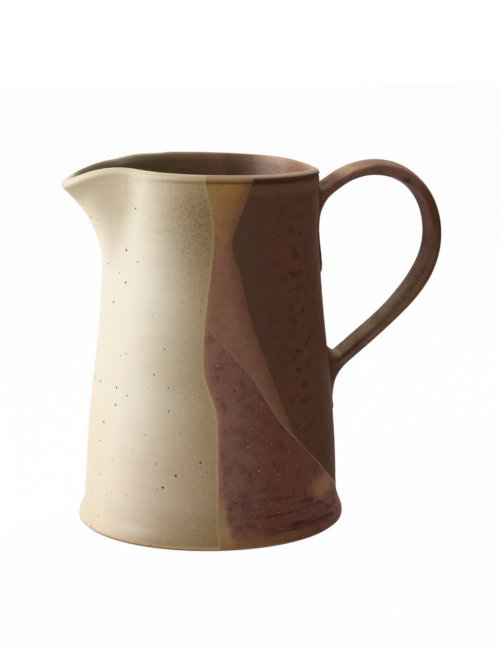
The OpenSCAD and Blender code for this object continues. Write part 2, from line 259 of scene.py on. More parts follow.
from_pinch = add(wall_point, "ShaderNodeMath.SUBTRACT", [off, size["Pinch Angle"]])
pinch = add(wall_point, "GeometryNodeGroup", [from_pinch, size["Pinch Width"]], node_tree=bell)
pinch = add(wall_point, "ShaderNodeMath.MULTIPLY", [pinch, growth])
uneven = add(wall_point, "ShaderNodeMapRange", [sine, -0.3, 0.3, size["Far Pinch"], 1.0])
pinch = add(wall_point, "ShaderNodeMath.MULTIPLY", [pinch, uneven])
pinch = add(wall_point, "ShaderNodeMath.MULTIPLY", [pinch, size["Throat Pinch"]])
radius = add(wall_point, "ShaderNodeMath.SUBTRACT", [radius, pinch])
print("with the spout:", len(wall_point.nodes), "nodes so far")

# %% Node group: point of the wall, the rim and the wall by the handle
droop = add(wall_point, "GeometryNodeGroup", [off, size["Droop Width"]], node_tree=bell)
droop = add(wall_point, "ShaderNodeMath.MULTIPLY", [droop, size["Spout Droop"]])
lift = add(wall_point, "ShaderNodeMath.MULTIPLY", [cosine, size["Rim Fall"]])
lift = add(wall_point, "ShaderNodeMath.SUBTRACT", [lift, droop])
rim_rise = add(wall_point, "ShaderNodeMath.MULTIPLY", [sine, size["Rim Rise"]])
lift = add(wall_point, "ShaderNodeMath.SUBTRACT", [lift, rim_rise])
from_handle = add(wall_point, "ShaderNodeMath.SUBTRACT", [math.pi, off])
dip = add(wall_point, "GeometryNodeGroup", [from_handle, size["Dip Width"]], node_tree=bell)
from_press = add(wall_point, "ShaderNodeMath.SUBTRACT", [rise, size["Press Height"]])
press = add(wall_point, "GeometryNodeGroup", [from_press, size["Press Length"]], node_tree=bell)
press = add(wall_point, "ShaderNodeMath.MULTIPLY", [press, dip])
press = add(wall_point, "ShaderNodeMath.MULTIPLY", [press, size["Press"]])
radius = add(wall_point, "ShaderNodeMath.SUBTRACT", [radius, press])
dip = add(wall_point, "ShaderNodeMath.MULTIPLY", [dip, size["Rim Dip"]])
lift = add(wall_point, "ShaderNodeMath.SUBTRACT", [lift, dip])
tall = add(wall_point, "ShaderNodeMath.MULTIPLY_ADD", [growth, lift, rise])
print("with the rim:", len(wall_point.nodes), "nodes so far")

# %% [markdown]
# Last come the marks of the hands. The rings that the fingers leave are a shallow spiral, a slow noise
# keeps the radius from being perfect, and the whole pot leans a little one way and the other. All of it
# is less than a millimetre, well inside the model's box.

# %% Node group: point of the wall, the marks of the hands
around = add(wall_point, "ShaderNodeCombineXYZ", [cosine, sine, None])
upward = add(wall_point, "ShaderNodeMath.DIVIDE", [rise, size["Rim Radius"]])
wall_point.links.new(upward.outputs[0], around.inputs["Z"])
drift = add(wall_point, "ShaderNodeTexNoise", {"Vector": around, "Scale": 1.6, "Detail": 1.0, "W": 7.0},
            noise_dimensions="4D")
wobble = add(wall_point, "ShaderNodeMath.SUBTRACT", [drift, 0.5])
radius = add(wall_point, "ShaderNodeMath.MULTIPLY_ADD", [wobble, size["Wobble"], radius])
spiral = add(wall_point, "ShaderNodeMath.DIVIDE", [rise, size["Ring Pitch"]])
spiral = add(wall_point, "ShaderNodeMath.MULTIPLY_ADD", [drift, 2.2, spiral])
spiral = add(wall_point, "ShaderNodeMath.MULTIPLY_ADD", [spiral, math.tau, turn])
ring = add(wall_point, "ShaderNodeMath.SINE", [spiral])
deep = add(wall_point, "ShaderNodeTexNoise", {"Vector": around, "Scale": 2.7, "Detail": 0.0, "W": 3.0},
           noise_dimensions="4D")
ring = add(wall_point, "ShaderNodeMath.MULTIPLY", [ring, deep])
radius = add(wall_point, "ShaderNodeMath.MULTIPLY_ADD", [ring, size["Ring Depth"], radius])
from_lean = add(wall_point, "ShaderNodeMath.SUBTRACT", [rise, size["Lean Height"]])
lean = add(wall_point, "GeometryNodeGroup", [from_lean, size["Lean Length"]], node_tree=bell)
lean = add(wall_point, "ShaderNodeMath.MULTIPLY", [lean, size["Lean"]])
lean = add(wall_point, "ShaderNodeMath.MULTIPLY_ADD", [growth, size["Rim Lean"], lean])
foot_lean = add(wall_point, "GeometryNodeGroup", [rise, size["Foot Lean Length"]], node_tree=bell)
lean = add(wall_point, "ShaderNodeMath.MULTIPLY_ADD", [foot_lean, size["Foot Lean"], lean])
inward = add(wall_point, "ShaderNodeMath.MULTIPLY", [radius, -1.0])
place_x = add(wall_point, "ShaderNodeMath.MULTIPLY_ADD", [inward, cosine, lean])
place_y = add(wall_point, "ShaderNodeMath.MULTIPLY", [inward, sine])
add(wall_point, "NodeGroupOutput", [add(wall_point, "ShaderNodeCombineXYZ", [place_x, place_y, tall])])
print(wall_point.name, "has", len(wall_point.nodes), "nodes")

# %% [markdown]
# A coat of glaze, the bare body and the glaze inside all follow that wall at some distance from it.
# So each of them starts as a flat pattern, like paper to be wrapped round the pot: every point carries
# its turn, its rise, how far out it lies and how far up past the rise. This tree wraps a pattern. It
# finds the direction out of the wall from four more points close by. Rows marked as turned are plain
# circles: there, out is the radius and up is the height.

# %% Geometry nodes: wrap a flat pattern on the wall
PATTERN = ("turn", "rise", "out", "up", "turned", "lip", "edge", "groove", "inset")
shape_in = {"Geometry": "NodeSocketGeometry"}
finish_in = {"Finish": "NodeSocketMaterial"}
thrown, given = new_group("thrown wall", "GeometryNodeTree", {**shape_in, **WALL, **finish_in}, shape_in)
turn, rise, out, up, turned = [
    add(thrown, "GeometryNodeInputNamedAttribute", {"Name": name}, data_type="FLOAT").outputs["Attribute"]
    for name in PATTERN[:5]]
turn_probe, rise_probe = 0.001, 0.1 * MM
points = []
for across, along in ((0, 0), (1, 0), (-1, 0), (0, 1), (0, -1)):
    near_turn = add(thrown, "ShaderNodeMath.ADD", [turn, across * turn_probe])
    near_rise = add(thrown, "ShaderNodeMath.ADD", [rise, along * rise_probe])
    points.append(add(thrown, "GeometryNodeGroup", [near_turn, near_rise, *[given[n] for n in WALL]],
                      node_tree=wall_point))
across = add(thrown, "ShaderNodeVectorMath.SUBTRACT", [points[1], points[2]])
along = add(thrown, "ShaderNodeVectorMath.SUBTRACT", [points[3], points[4]])
along = add(thrown, "ShaderNodeVectorMath.NORMALIZE", [along])
outward = add(thrown, "ShaderNodeVectorMath.CROSS_PRODUCT", [across, along])
outward = add(thrown, "ShaderNodeVectorMath.NORMALIZE", [outward])
moved = add(thrown, "ShaderNodeVectorMath.SCALE", {"Vector": outward, "Scale": out})
raised = add(thrown, "ShaderNodeVectorMath.SCALE", {"Vector": along, "Scale": up})
wrapped = add(thrown, "ShaderNodeVectorMath.ADD", [points[0], moved])
wrapped = add(thrown, "ShaderNodeVectorMath.ADD", [wrapped, raised])
cosine = add(thrown, "ShaderNodeMath.COSINE", [add(thrown, "ShaderNodeMath.ADD", [turn, math.pi])])
sine = add(thrown, "ShaderNodeMath.SINE", [add(thrown, "ShaderNodeMath.ADD", [turn, math.pi])])
circle_x = add(thrown, "ShaderNodeMath.MULTIPLY", [cosine, out])
circle_y = add(thrown, "ShaderNodeMath.MULTIPLY", [sine, out])
circle = add(thrown, "ShaderNodeCombineXYZ", [circle_x, circle_y, up])
settled = add(thrown, "ShaderNodeMix", [turned, wrapped, circle], data_type="VECTOR")
pot = add(thrown, "GeometryNodeSetPosition", {"Geometry": given["Geometry"], "Position": settled})
pot = add(thrown, "GeometryNodeSetShadeSmooth", {"Geometry": pot, "Shade Smooth": True})
pot = add(thrown, "GeometryNodeRealizeInstances", [pot])
pot = add(thrown, "GeometryNodeSetMaterial", {"Geometry": pot, "Material": given["Finish"]})
add(thrown, "NodeGroupOutput", [pot])
print(thrown.name, "has", len(thrown.nodes), "nodes")

# %% [markdown]
# A modifier's inputs are set by the identifier of each socket, before the object is first evaluated.
# The result is taken as a plain mesh, its poles are merged, and the modifier goes. What is left is an
# ordinary piece that can ride on the model.

# %% From a geometry tree to a finished piece
merge_distance = 0.002 * MM


def finished(name, mesh, tree, finish):
    """The object that a geometry tree makes of a mesh, as a plain mesh with its poles merged."""
    piece = bpy.data.objects.new(name, mesh)
    bpy.context.collection.objects.link(piece)
    modifier = piece.modifiers.new(tree.name, "NODES")
    modifier.node_group = tree
    for socket in tree.interface.items_tree:
        if socket.name == "Finish":
            modifier[socket.identifier] = finish
        elif socket.in_out == "INPUT" and socket.socket_type != "NodeSocketGeometry":
            modifier[socket.identifier] = socket.default_value
    made = bpy.data.meshes.new_from_object(piece.evaluated_get(bpy.context.evaluated_depsgraph_get()))
    piece.modifiers.remove(modifier)
    shape = bmesh.new()
    shape.from_mesh(made)
    bmesh.ops.remove_doubles(shape, verts=shape.verts, dist=merge_distance)
    shape.to_mesh(made)
    shape.free()
    made.materials.clear()
    made.materials.append(finish)
    made.polygons.foreach_set("material_index", [0] * len(made.polygons))
    made.name = name
    piece.data = made
    print(name, "has", len(made.polygons), "faces and", len(made.materials), "finish")
    return piece


print("points closer than", merge_distance / MM, "mm are merged")

# %% From a flat pattern to a piece on the model
flat_radius = 60 * MM


def wrap(name, sheets, closed, finish):
    """A piece from sheets of rows of pattern points; closed joins the last column to the first."""
    points, faces = [], []
    for rows in sheets:
        start, count = len(points), len(rows[0])
        for r in range(len(rows) - 1):
            here, there = start + r * count, start + (r + 1) * count
            for c in range(count if closed else count - 1):
                n = (c + 1) % count
                faces.append((here + c, here + n, there + n, there + c))
        points += [point for row in rows for point in row]
    mesh = bpy.data.meshes.new(name)
    mesh.from_pydata([(flat_radius * p[0], 0, p[1] + p[3]) for p in points], [], faces)
    for k, attribute in enumerate(PATTERN):
        mesh.attributes.new(attribute, "FLOAT", "POINT").data.foreach_set("value", [p[k] for p in points])
    return finished(name, mesh, thrown, finish)


def settle(piece, slot, *nodes):
    """The piece rides on the model and stands for its nodes; slot is not used."""
    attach(piece, "root")
    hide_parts(*nodes)


print("pattern points carry", ", ".join(PATTERN))

# %% [markdown]
# ## Finishes
# All the glazes here are satin stoneware glazes: melted silicate with clay and iron in it, fired until it
# flows a little and then cooled to a soft sheen. The eye sees three things in each: a body colour that
# drifts from place to place, fine grain, and a gentle orange-peel surface. Every finish starts with the
# same shader and reads Object coordinates, in metres, so a pattern stays put on the pot.

# %% Start and end of a finish
def start_finish(name, **values):
    """A material with its shader, and the object coordinates that its patterns read."""
    material = bpy.data.materials.new(name)
    material.use_nodes = True
    tree = material.node_tree
    tree.nodes.clear()
    shader = add(tree, "ShaderNodeBsdfPrincipled", values)
    add(tree, "ShaderNodeOutputMaterial", {"Surface": shader})
    return material, tree, shader, add(tree, "ShaderNodeTexCoord").outputs["Object"]


def end_finish(material, shader, colour, rough, surface):
    """Give the shader its colour, its roughness and its surface."""
    tree = material.node_tree
    for name, node in (("Base Color", colour), ("Roughness", rough), ("Normal", surface)):
        tree.links.new(next(output for output in node.outputs if output.enabled), shader.inputs[name])
    print(material.name, "has", len(tree.nodes), "nodes")


def per_size(size_mm):
    """The scale of a texture whose features are this many millimetres across."""
    return 1000 / size_mm


print("a 1 mm grain has scale", per_size(1))

# %% [markdown]
# The colour of a finish is built up in layers, as glaze is on a pot. A layer is a tint and a rule for how
# strong it is from place to place. The rule is a ramp, or a few of them multiplied, so that the tint shows
# only where all of them let it. A ramp is written as a value, the two places between which it runs, and
# its strength at both. A Color Ramp node could do the same, but its stops can't be given in millimetres.

# %% Layers of colour
def strength_of(tree, ramps):
    """The product of ramps; a node or a number stands for itself."""
    strength = None
    for ramp in ramps:
        if isinstance(ramp, tuple):
            *run, course = ramp if isinstance(ramp[-1], str) else (*ramp, "LINEAR")
            ramp = add(tree, "ShaderNodeMapRange", run, interpolation_type=course)
        if strength is None:
            strength = ramp
        else:
            strength = add(tree, "ShaderNodeMath.MULTIPLY", [strength, ramp])
    return strength


def lay(tree, colour, *layers):
    """Lay tints over a colour, one after the other; a layer has a name, a tint and its ramps."""
    for name, tint, *ramps in layers:
        tint = srgb(tint) if isinstance(tint, str) else tint
        colour = add(tree, "ShaderNodeMix", [strength_of(tree, ramps), colour, tint],
                     data_type="RGBA", label=name)
    return colour


print("layers of colour are laid from the clay outwards")

# %% [markdown]
# Iron specks come up through a glaze where a grain of ironstone in the clay has melted. They are round,
# about a millimetre across or less, all of different sizes and far apart. Voronoi cells give one random
# point per cell, so a disc round each point, with a size drawn per cell, makes the specks.

# %% Node group: specks in a glaze
specks, given = new_group("specks", "ShaderNodeTree",
                          {"Vector": "NodeSocketVector", "Spacing": 0, "Radius": 0}, {"Mask": 0})
scale = add(specks, "ShaderNodeMath.DIVIDE", [1.0, given["Spacing"]])
cells = add(specks, "ShaderNodeTexVoronoi", {"Vector": given["Vector"], "Scale": scale})
distance = add(specks, "ShaderNodeMath.MULTIPLY", [cells.outputs["Distance"], given["Spacing"]])
drawn_size = add(specks, "ShaderNodeSeparateColor", [cells.outputs["Color"]])
drawn_size = add(specks, "ShaderNodeMath.MULTIPLY_ADD", [drawn_size, 0.7, 0.3])
rim = add(specks, "ShaderNodeMath.MULTIPLY", [drawn_size, given["Radius"]])
core = add(specks, "ShaderNodeMath.MULTIPLY", [rim, 0.65])
mask = add(specks, "ShaderNodeMapRange", [distance, core, rim, 1.0, 0.0])
add(specks, "NodeGroupOutput", [mask])
print(specks.name, "has", len(specks.nodes), "nodes")

# %% [markdown]
# The cream glaze is the pale side. Close to the dip line it is thin and the clay's iron shows through as
# an olive, stippled tint, most of all near the rim and the foot. On the spout's flanks and in a band under
# the spout's lip the same tint is partly thin glaze and partly painted shade, where the throat turns from
# the lamp.
# Lower down it blushes a little. In the groove under the lip it darkens to ochre, partly broken glaze and
# partly painted shade. `edge` is the distance to the dip line, `lip` the distance past the lip and `groove`
# the share of the groove's depth. All three come with the pattern, because they follow the surface.

# %% Finish: satin cream glaze, where it is thin, with painted shade on the spout's flanks
cream_glaze, tree, shader, where = start_finish(
    "satin cream stoneware glaze", **{"IOR": 1.5, "Specular IOR Level": 0.35})
edge, lip, cut = [add(tree, "ShaderNodeAttribute", attribute_name=name).outputs["Fac"]
                  for name in ("edge", "lip", "groove")]
across, aside, tall = add(tree, "ShaderNodeSeparateXYZ", [where]).outputs
drift = add(tree, "ShaderNodeTexNoise", {"Vector": where, "Scale": per_size(40), "Detail": 3.0})
near = add(tree, "ShaderNodeMath.MULTIPLY_ADD", [drift, -16 * MM, edge])
near = add(tree, "ShaderNodeMath.ADD", [near, 8 * MM])
reach_above, reach_below, reach_more = 44 * MM, 67 * MM, 8 * MM
reach = add(tree, "ShaderNodeMapRange", [tall, 115 * MM, 45 * MM, reach_above, reach_below])
at_top = add(tree, "ShaderNodeMapRange", [tall, 140 * MM, 178 * MM, 0.0, reach_more])
reach = add(tree, "ShaderNodeMath.ADD", [reach, at_top])
share = add(tree, "ShaderNodeMath.DIVIDE", [near, reach])
at_line = add(tree, "ShaderNodeMapRange", [share, 1.0, 0.08, 0.0, 1.0])
at_line = add(tree, "ShaderNodeMath.POWER", [at_line, 1.2])
foot = strength_of(tree, [(tall, 28 * MM, 5 * MM, 0.0, 0.75), (near, 75 * MM, 32 * MM, 0.0, 1.0)])
# The spout's flanks along the throat's fold and a band under the spout's lip: partly thin glaze, partly
# painted shade where they turn from the lamp.
fold = add(tree, "ShaderNodeMapRange", [tall, 150 * MM, 184 * MM, 7 * MM, 0.0])
fold = add(tree, "ShaderNodeMath.ADD", [fold, across])
off_line = add(tree, "ShaderNodeMath.ABSOLUTE", [aside])
spout_flank_shade = strength_of(tree, [(fold, -43 * MM, -50 * MM, 0.0, 0.65), (off_line, 4 * MM, 15 * MM, 0.05, 1.0),
                           (tall, 140 * MM, 174 * MM, 0.0, 1.0)])
close = strength_of(tree, [(lip, -13 * MM, -4 * MM, 0.0, 0.65), (across, -38 * MM, -54 * MM, 0.0, 1.0)])
spout_flank_shade = add(tree, "ShaderNodeMath.MAXIMUM", [spout_flank_shade, close])
# From here the wash holds the thin glaze by the dip line and the foot, and the painted shade on the spout's
# flanks.
wash = add(tree, "ShaderNodeMath.MAXIMUM", [foot, spout_flank_shade])
wash = add(tree, "ShaderNodeMath.MAXIMUM", [at_line, wash])
print("the wash reaches", round(reach_above / MM), "mm from the dip line above and",
      round(reach_below / MM), "mm below")

# %% Finish: satin cream glaze, its colours
lower_down = add(tree, "ShaderNodeMapRange", [tall, 120 * MM, 30 * MM, 0.15, 1.0])
blush = strength_of(tree, [(drift, 0.42, 0.66, 0.0, 0.8), lower_down])
even_blush = add(tree, "ShaderNodeMapRange", [tall, 80 * MM, 40 * MM, 0.0, 0.6])
blush = add(tree, "ShaderNodeMath.MAXIMUM", [blush, even_blush])
washed = lay(tree, srgb("#b8a27d"), ("wash lower down", "#b09672", lower_down))
by_rim = strength_of(tree, [(tall, 130 * MM, 166 * MM, 0.3, 1.0), (tall, 192 * MM, 176 * MM, 0.45, 1.0)])
by_foot = add(tree, "ShaderNodeMapRange", [tall, 32 * MM, 8 * MM, 0.0, 0.7])
band = add(tree, "ShaderNodeMath.MAXIMUM", [by_rim, by_foot])
olive = strength_of(tree, [(share, 0.85, 0.08, 0.06, 1.0, "SMOOTHSTEP"), band])
# Stipple of a few tenths of a millimetre, drawn at 0.6 mm so that it shows.
grain = add(tree, "ShaderNodeTexNoise",
            {"Vector": where, "Scale": per_size(0.6), "Detail": 4.0, "Roughness": 0.7})
stippled = add(tree, "ShaderNodeMath.MULTIPLY_ADD", [wash, 0.3, olive])
colour = lay(
    tree, srgb("#e9e2d0"),
    ("blush", "#eedac8", blush),
    ("tip of the spout", "#e6d6b2", (across, -60 * MM, -70 * MM, 0.0, 0.6)),
    # This layer lays the thin glaze's olive and the painted shade on the spout's flanks.
    ("wash", washed, wash),
    ("foot", "#947b4e", foot, 0.6),
    ("olive", "#926f34", olive, 0.7),
    ("stipple", "#5d451e", stippled, (grain, 0.42, 0.64, 0.05, 0.75)),
    # In the groove the ochre is partly broken glaze and partly painted shade.
    ("broken in the groove", "#876c32", cut, (near, 75 * MM, 15 * MM, 0.3, 1.0)))
print("cream washes to olive and breaks to ochre in the groove")

# %% Finish: satin cream glaze, its edges, specks and surface
# The top of the lip takes its own tint, darker by the dip line; at the spout's tip it is painted light, a
# painted highlight where the lip faces the lamp.
pale_lip = lay(
    tree, srgb("#dfcdac"),
    ("lip by the dip line", "#c9ae80", at_line),
    ("lip of the spout", "#f6ecd9", (across, -52 * MM, -68 * MM, 0.0, 0.85)))
from_bead = add(tree, "ShaderNodeMath.SUBTRACT", [edge, 1.9 * MM])
from_bead = add(tree, "ShaderNodeMath.ABSOLUTE", [from_bead])
fine_iron = add(tree, "ShaderNodeGroup", [where, 4.6 * MM, 0.36 * MM], node_tree=specks)
shifted = add(tree, "ShaderNodeVectorMath.ADD", [where, (13 * MM, 7 * MM, 29 * MM)])
iron = add(tree, "ShaderNodeGroup", [shifted, 6.2 * MM, 0.82 * MM], node_tree=specks)
colour = lay(
    tree, colour,
    ("lip", pale_lip, (lip, -0.4 * MM, 1.2 * MM, 0.0, 0.7)),
    ("bead along the line", "#bca375", (from_bead, 0.5 * MM, 0.1 * MM, 0.0, 0.3)),
    ("thin at the foot", "#cfa878", (tall, 3.6 * MM, 2.2 * MM, 0.0, 0.65)),
    ("fine specks", "#6a4a2c", fine_iron, 0.6),
    ("iron specks", "#22140c", iron))
peel = add(tree, "ShaderNodeTexNoise", {"Vector": where, "Scale": per_size(3), "Detail": 2.0})
surface = add(tree, "ShaderNodeBump", {"Strength": 0.5, "Distance": 0.06 * MM, "Height": peel})
rough = add(tree, "ShaderNodeMapRange", [drift, 0.3, 0.7, 0.36, 0.48])
end_finish(cream_glaze, shader, colour, rough, surface)

# %% [markdown]
# The plum glaze is two dips in one coat. Above its own slanting line the coat is thin over the others and
# reads ochre at the rim and mauve below; under the line the second, thicker dip turns it plum, mottled,
# with pale specks, dark wavy streaks in the throwing rings and an ochre patch where the dips pull apart.
# The line is a rule in x and z, the way a dip is: a straight liquid level on a tilted pot. `edge` is here
# the distance to the cream's line, and `inset` the distance to the coat's own nearer edge.

# %% Finish: satin plum glaze, where the second dip lies
plum_glaze, tree, shader, where = start_finish(
    "satin plum stoneware glaze", **{"IOR": 1.5, "Specular IOR Level": 0.03})
edge, lip, cut, inset = [add(tree, "ShaderNodeAttribute", attribute_name=name).outputs["Fac"]
                         for name in ("edge", "lip", "groove", "inset")]
across, _, tall = add(tree, "ShaderNodeSeparateXYZ", [where]).outputs
drift = add(tree, "ShaderNodeTexNoise", {"Vector": where, "Scale": per_size(22), "Detail": 3.0})
fine_drift = add(tree, "ShaderNodeTexNoise",
                 {"Vector": where, "Scale": per_size(6), "Detail": 5.0, "Roughness": 0.6})
line_slope, line_height = -1.22, 98 * MM
line = add(tree, "ShaderNodeMath.MULTIPLY_ADD", [across, line_slope, line_height])
for place, width, amount in ((25 * MM, 11 * MM, -4.2 * MM), (5 * MM, 9 * MM, 1.8 * MM)):
    sag = add(tree, "ShaderNodeMath.SUBTRACT", [across, place])
    sag = add(tree, "ShaderNodeMath.DIVIDE", [sag, width])
    sag = add(tree, "ShaderNodeMath.MULTIPLY", [sag, sag])
    sag = add(tree, "ShaderNodeMath.EXPONENT", [add(tree, "ShaderNodeMath.MULTIPLY", [sag, -1.0])])
    line = add(tree, "ShaderNodeMath.MULTIPLY_ADD", [sag, amount, line])
line = add(tree, "ShaderNodeMath.MULTIPLY_ADD", [fine_drift, 2.5 * MM, line])
short = add(tree, "ShaderNodeMapRange", [across, 24 * MM, 42 * MM, 0.0, 1.2 * MM])
line = add(tree, "ShaderNodeMath.SUBTRACT", [line, short])
under = add(tree, "ShaderNodeMath.SUBTRACT", [line, tall])
second = add(tree, "ShaderNodeMapRange", [under, -0.2 * MM, 1.2 * MM, 0.0, 1.0])
print("the second dip line drops", round(-60 * line_slope), "mm over 60 mm")

# %% Finish: satin plum glaze, above the second dip
gold_from, gold_full = 160 * MM, 200 * MM
gold = add(tree, "ShaderNodeMath.MULTIPLY_ADD", [drift, 26 * MM, tall])
gold = add(tree, "ShaderNodeMapRange", [gold, gold_from, gold_full, 0.0, 1.0],
           interpolation_type="SMOOTHSTEP")
# Melted grains of a few tenths of a millimetre, drawn at 0.9 mm so that they show.
grain = add(tree, "ShaderNodeTexNoise",
            {"Vector": where, "Scale": per_size(0.9), "Detail": 3.0, "Roughness": 0.7})
dark_grain = add(tree, "ShaderNodeMapRange", [grain, 0.52, 0.72, 0.0, 0.4])
upper = lay(
    tree, srgb("#906651"),
    ("ochre", "#a77944", gold),
    ("green by the cream", "#93804d", (edge, 9 * MM, 0.5 * MM, 0.0, 0.55), gold),
    ("ruddy drift", "#744d3a", (fine_drift, 0.4, 0.7, 0.0, 0.4)),
    ("dim by the brown", "#694632",
     (inset, 0.5 * MM, 9 * MM, 0.75, 0.0), (edge, 5 * MM, 10 * MM, 0.0, 1.0)),
    ("melted grains", "#5c4128", dark_grain),
    # In the groove the tint is partly broken glaze and partly painted shade.
    ("broken in the groove", "#564022", cut, 0.8),
    # On the lip's top the lighter tint is partly thinner glaze and partly a painted highlight.
    ("lip", "#ba9976", (lip, 0.1 * MM, 1.3 * MM, 0.0, 0.9)))
print("mauve turns to ochre from", round(gold_from / MM), "mm upwards")

# %% Finish: satin plum glaze, under the second dip
deep = add(tree, "ShaderNodeMath.MULTIPLY_ADD", [drift, 30 * MM, across])
stretch = add(tree, "ShaderNodeMapping", {"Vector": where, "Scale": (0.14, 0.14, 1.0)})
streak = add(tree, "ShaderNodeTexNoise",
             {"Vector": stretch, "Scale": per_size(4), "Detail": 3.0, "Distortion": 0.7})
patch = add(tree, "ShaderNodeVectorMath.SUBTRACT", [where, (53 * MM, -46 * MM, 25 * MM)])
patch = add(tree, "ShaderNodeVectorMath.MULTIPLY", [patch, (0.55, 0.55, 1.15)])
patch = add(tree, "ShaderNodeVectorMath.LENGTH", [patch])
patch = add(tree, "ShaderNodeMath.MULTIPLY_ADD", [fine_drift, 9 * MM, patch.outputs["Value"]])
lower = lay(
    tree, srgb("#8c6455"),
    ("deep plum", "#704236", (deep, 2 * MM, 36 * MM, 0.0, 1.0)),
    ("mottle", "#512926", (fine_drift, 0.48, 0.72, 0.0, 0.6)),
    ("melted grains", "#4c2a25", dark_grain),
    ("pale grains", "#a37c6c", (grain, 0.46, 0.3, 0.0, 0.3)),
    ("streaks in the rings", "#40211b", (streak, 0.51, 0.62, 0.0, 0.85),
     (tall, 38 * MM, 16 * MM, 0.0, 1.0), (across, 4 * MM, 24 * MM, 0.1, 1.0)),
    ("pulled apart", "#a5754f", (patch, 14 * MM, 8 * MM, 0.0, 0.7)))
print("the patch where the dips pull apart is about 30 mm long")

# %% Finish: satin plum glaze, its edges and specks
from_ridge = add(tree, "ShaderNodeMath.SUBTRACT", [under, 0.6 * MM])
from_ridge = add(tree, "ShaderNodeMath.ABSOLUTE", [from_ridge])
khaki = add(tree, "ShaderNodeMath.MULTIPLY_ADD", [tall, 0.16, edge])
khaki = add(tree, "ShaderNodeMath.MULTIPLY_ADD", [fine_drift, 6 * MM, khaki])
khaki = strength_of(tree, [(khaki, 12.2 * MM, 9.6 * MM, 0.0, 0.9), (tall, 30 * MM, 20 * MM, 0.0, 1.0)])
pale = add(tree, "ShaderNodeGroup", [where, 2.8 * MM, 0.42 * MM], node_tree=specks)
shifted = add(tree, "ShaderNodeVectorMath.ADD", [where, (31 * MM, 17 * MM, 5 * MM)])
iron = add(tree, "ShaderNodeGroup", [shifted, 6 * MM, 0.6 * MM], node_tree=specks)
colour = lay(
    tree, upper,
    ("second dip", lower, second),
    # Along the second dip's line the ridge is painted pale, partly thinner glaze over its edge and partly a
    # painted highlight on the raised ridge.
    ("pale ridge of the second dip", "#ad8576",
     (from_ridge, 0.9 * MM, 0.2 * MM, 0.0, 0.5), (fine_drift, 0.4, 0.55, 0.35, 1.0)),
    ("halo by the cream", "#ab8562",
     (edge, 3.2 * MM, 0.6 * MM, 0.0, 0.35), (tall, 145 * MM, 125 * MM, 0.0, 1.0)),
    ("khaki at the foot", "#a2825a", khaki),
    ("grains in the khaki", "#4f3a20", khaki, dark_grain),
    ("thin at the foot", "#9f7049",
     (tall, 10 * MM, 2.2 * MM, 0.0, 0.7), (across, 12 * MM, 42 * MM, 1.0, 0.25)),
    ("pale specks", "#e0c4ae", pale, (drift, 0.44, 0.58, 0.1, 0.75), second),
    ("iron specks", "#2a140e", iron))
print("the second dip has pale specks, and both have iron ones")

# %% Finish: satin plum glaze, its surface
second_height = 0.2 * MM
ridge = add(tree, "ShaderNodeMapRange", [under, 0.0, 1.6 * MM, 0.0, 1.0], interpolation_type="SMOOTHSTEP")
peel = add(tree, "ShaderNodeTexNoise", {"Vector": where, "Scale": per_size(2.5), "Detail": 2.0})
height = add(tree, "ShaderNodeMath.MULTIPLY_ADD", [peel, 0.25, ridge])
surface = add(tree, "ShaderNodeBump", {"Strength": 1.0, "Distance": second_height, "Height": height})
rough = add(tree, "ShaderNodeMapRange", [fine_drift, 0.3, 0.7, 0.46, 0.6])
end_finish(plum_glaze, shader, colour, rough, surface)

# %% [markdown]
# The brown glaze is an iron glaze, nearly black where it is thick and tan where it thins over the lip; the
# tan top of the lip is partly a painted highlight and the dark band in the groove partly painted shade. Its
# dry satin gleams warmly where the wall turns away, which is what the shader's sheen gives the eye.
# A chain of small sagging marks runs down it, where the glaze ran and caught: short arcs, one above the
# other, that hang in the middle, are broken by a noise and stay in one narrow upright band.

# %% Finish: satin iron-brown glaze, its colours
brown_glaze, tree, shader, where = start_finish(
    "satin iron brown stoneware glaze", **{"IOR": 1.5, "Specular IOR Level": 0.015, "Sheen Weight": 0.07,
                                           "Sheen Roughness": 0.4, "Sheen Tint": srgb("#e0a878")})
lip = add(tree, "ShaderNodeAttribute", attribute_name="lip").outputs["Fac"]
across, _, tall = add(tree, "ShaderNodeSeparateXYZ", [where]).outputs
drift = add(tree, "ShaderNodeTexNoise", {"Vector": where, "Scale": per_size(30), "Detail": 3.0})
fine_drift = add(tree, "ShaderNodeTexNoise", {"Vector": where, "Scale": per_size(5), "Detail": 4.0})
side = add(tree, "ShaderNodeMath.MULTIPLY_ADD", [drift, 12 * MM, across])
below_lip = add(tree, "ShaderNodeMath.ABSOLUTE", [add(tree, "ShaderNodeMath.ADD", [lip, 5 * MM])])
from_groove = add(tree, "ShaderNodeMath.ABSOLUTE", [add(tree, "ShaderNodeMath.ADD", [lip, 0.7 * MM])])
colour = lay(
    tree, srgb("#5f3f30"),
    ("patches", "#653f30", (drift, 0.35, 0.65, 0.0, 1.0)),
    ("ruddy drift", "#573022", (fine_drift, 0.48, 0.7, 0.0, 0.6)),
    ("earthy by the plum", "#5b4233", (side, 32 * MM, 10 * MM, 0.0, 0.85)),
    ("dusky by the handle", "#4a2a1a", (side, 44 * MM, 62 * MM, 0.0, 0.7)),
    ("lighter below the lip", "#7a5843", (below_lip, 4 * MM, 1 * MM, 0.0, 0.4)),
    # In the groove and on the lip's lower half the dark is partly pooled glaze and partly painted shade;
    # the lip's top is tan from thin glaze and a painted highlight.
    ("pooled in the groove", "#3c281b", (from_groove, 2.0 * MM, 0.8 * MM, 0.0, 0.7)),
    ("thin on the lip", "#c4a78f", (lip, 0.7 * MM, 1.9 * MM, 0.0, 0.95)))
print("brown pools dark under the lip and thins to tan on it")

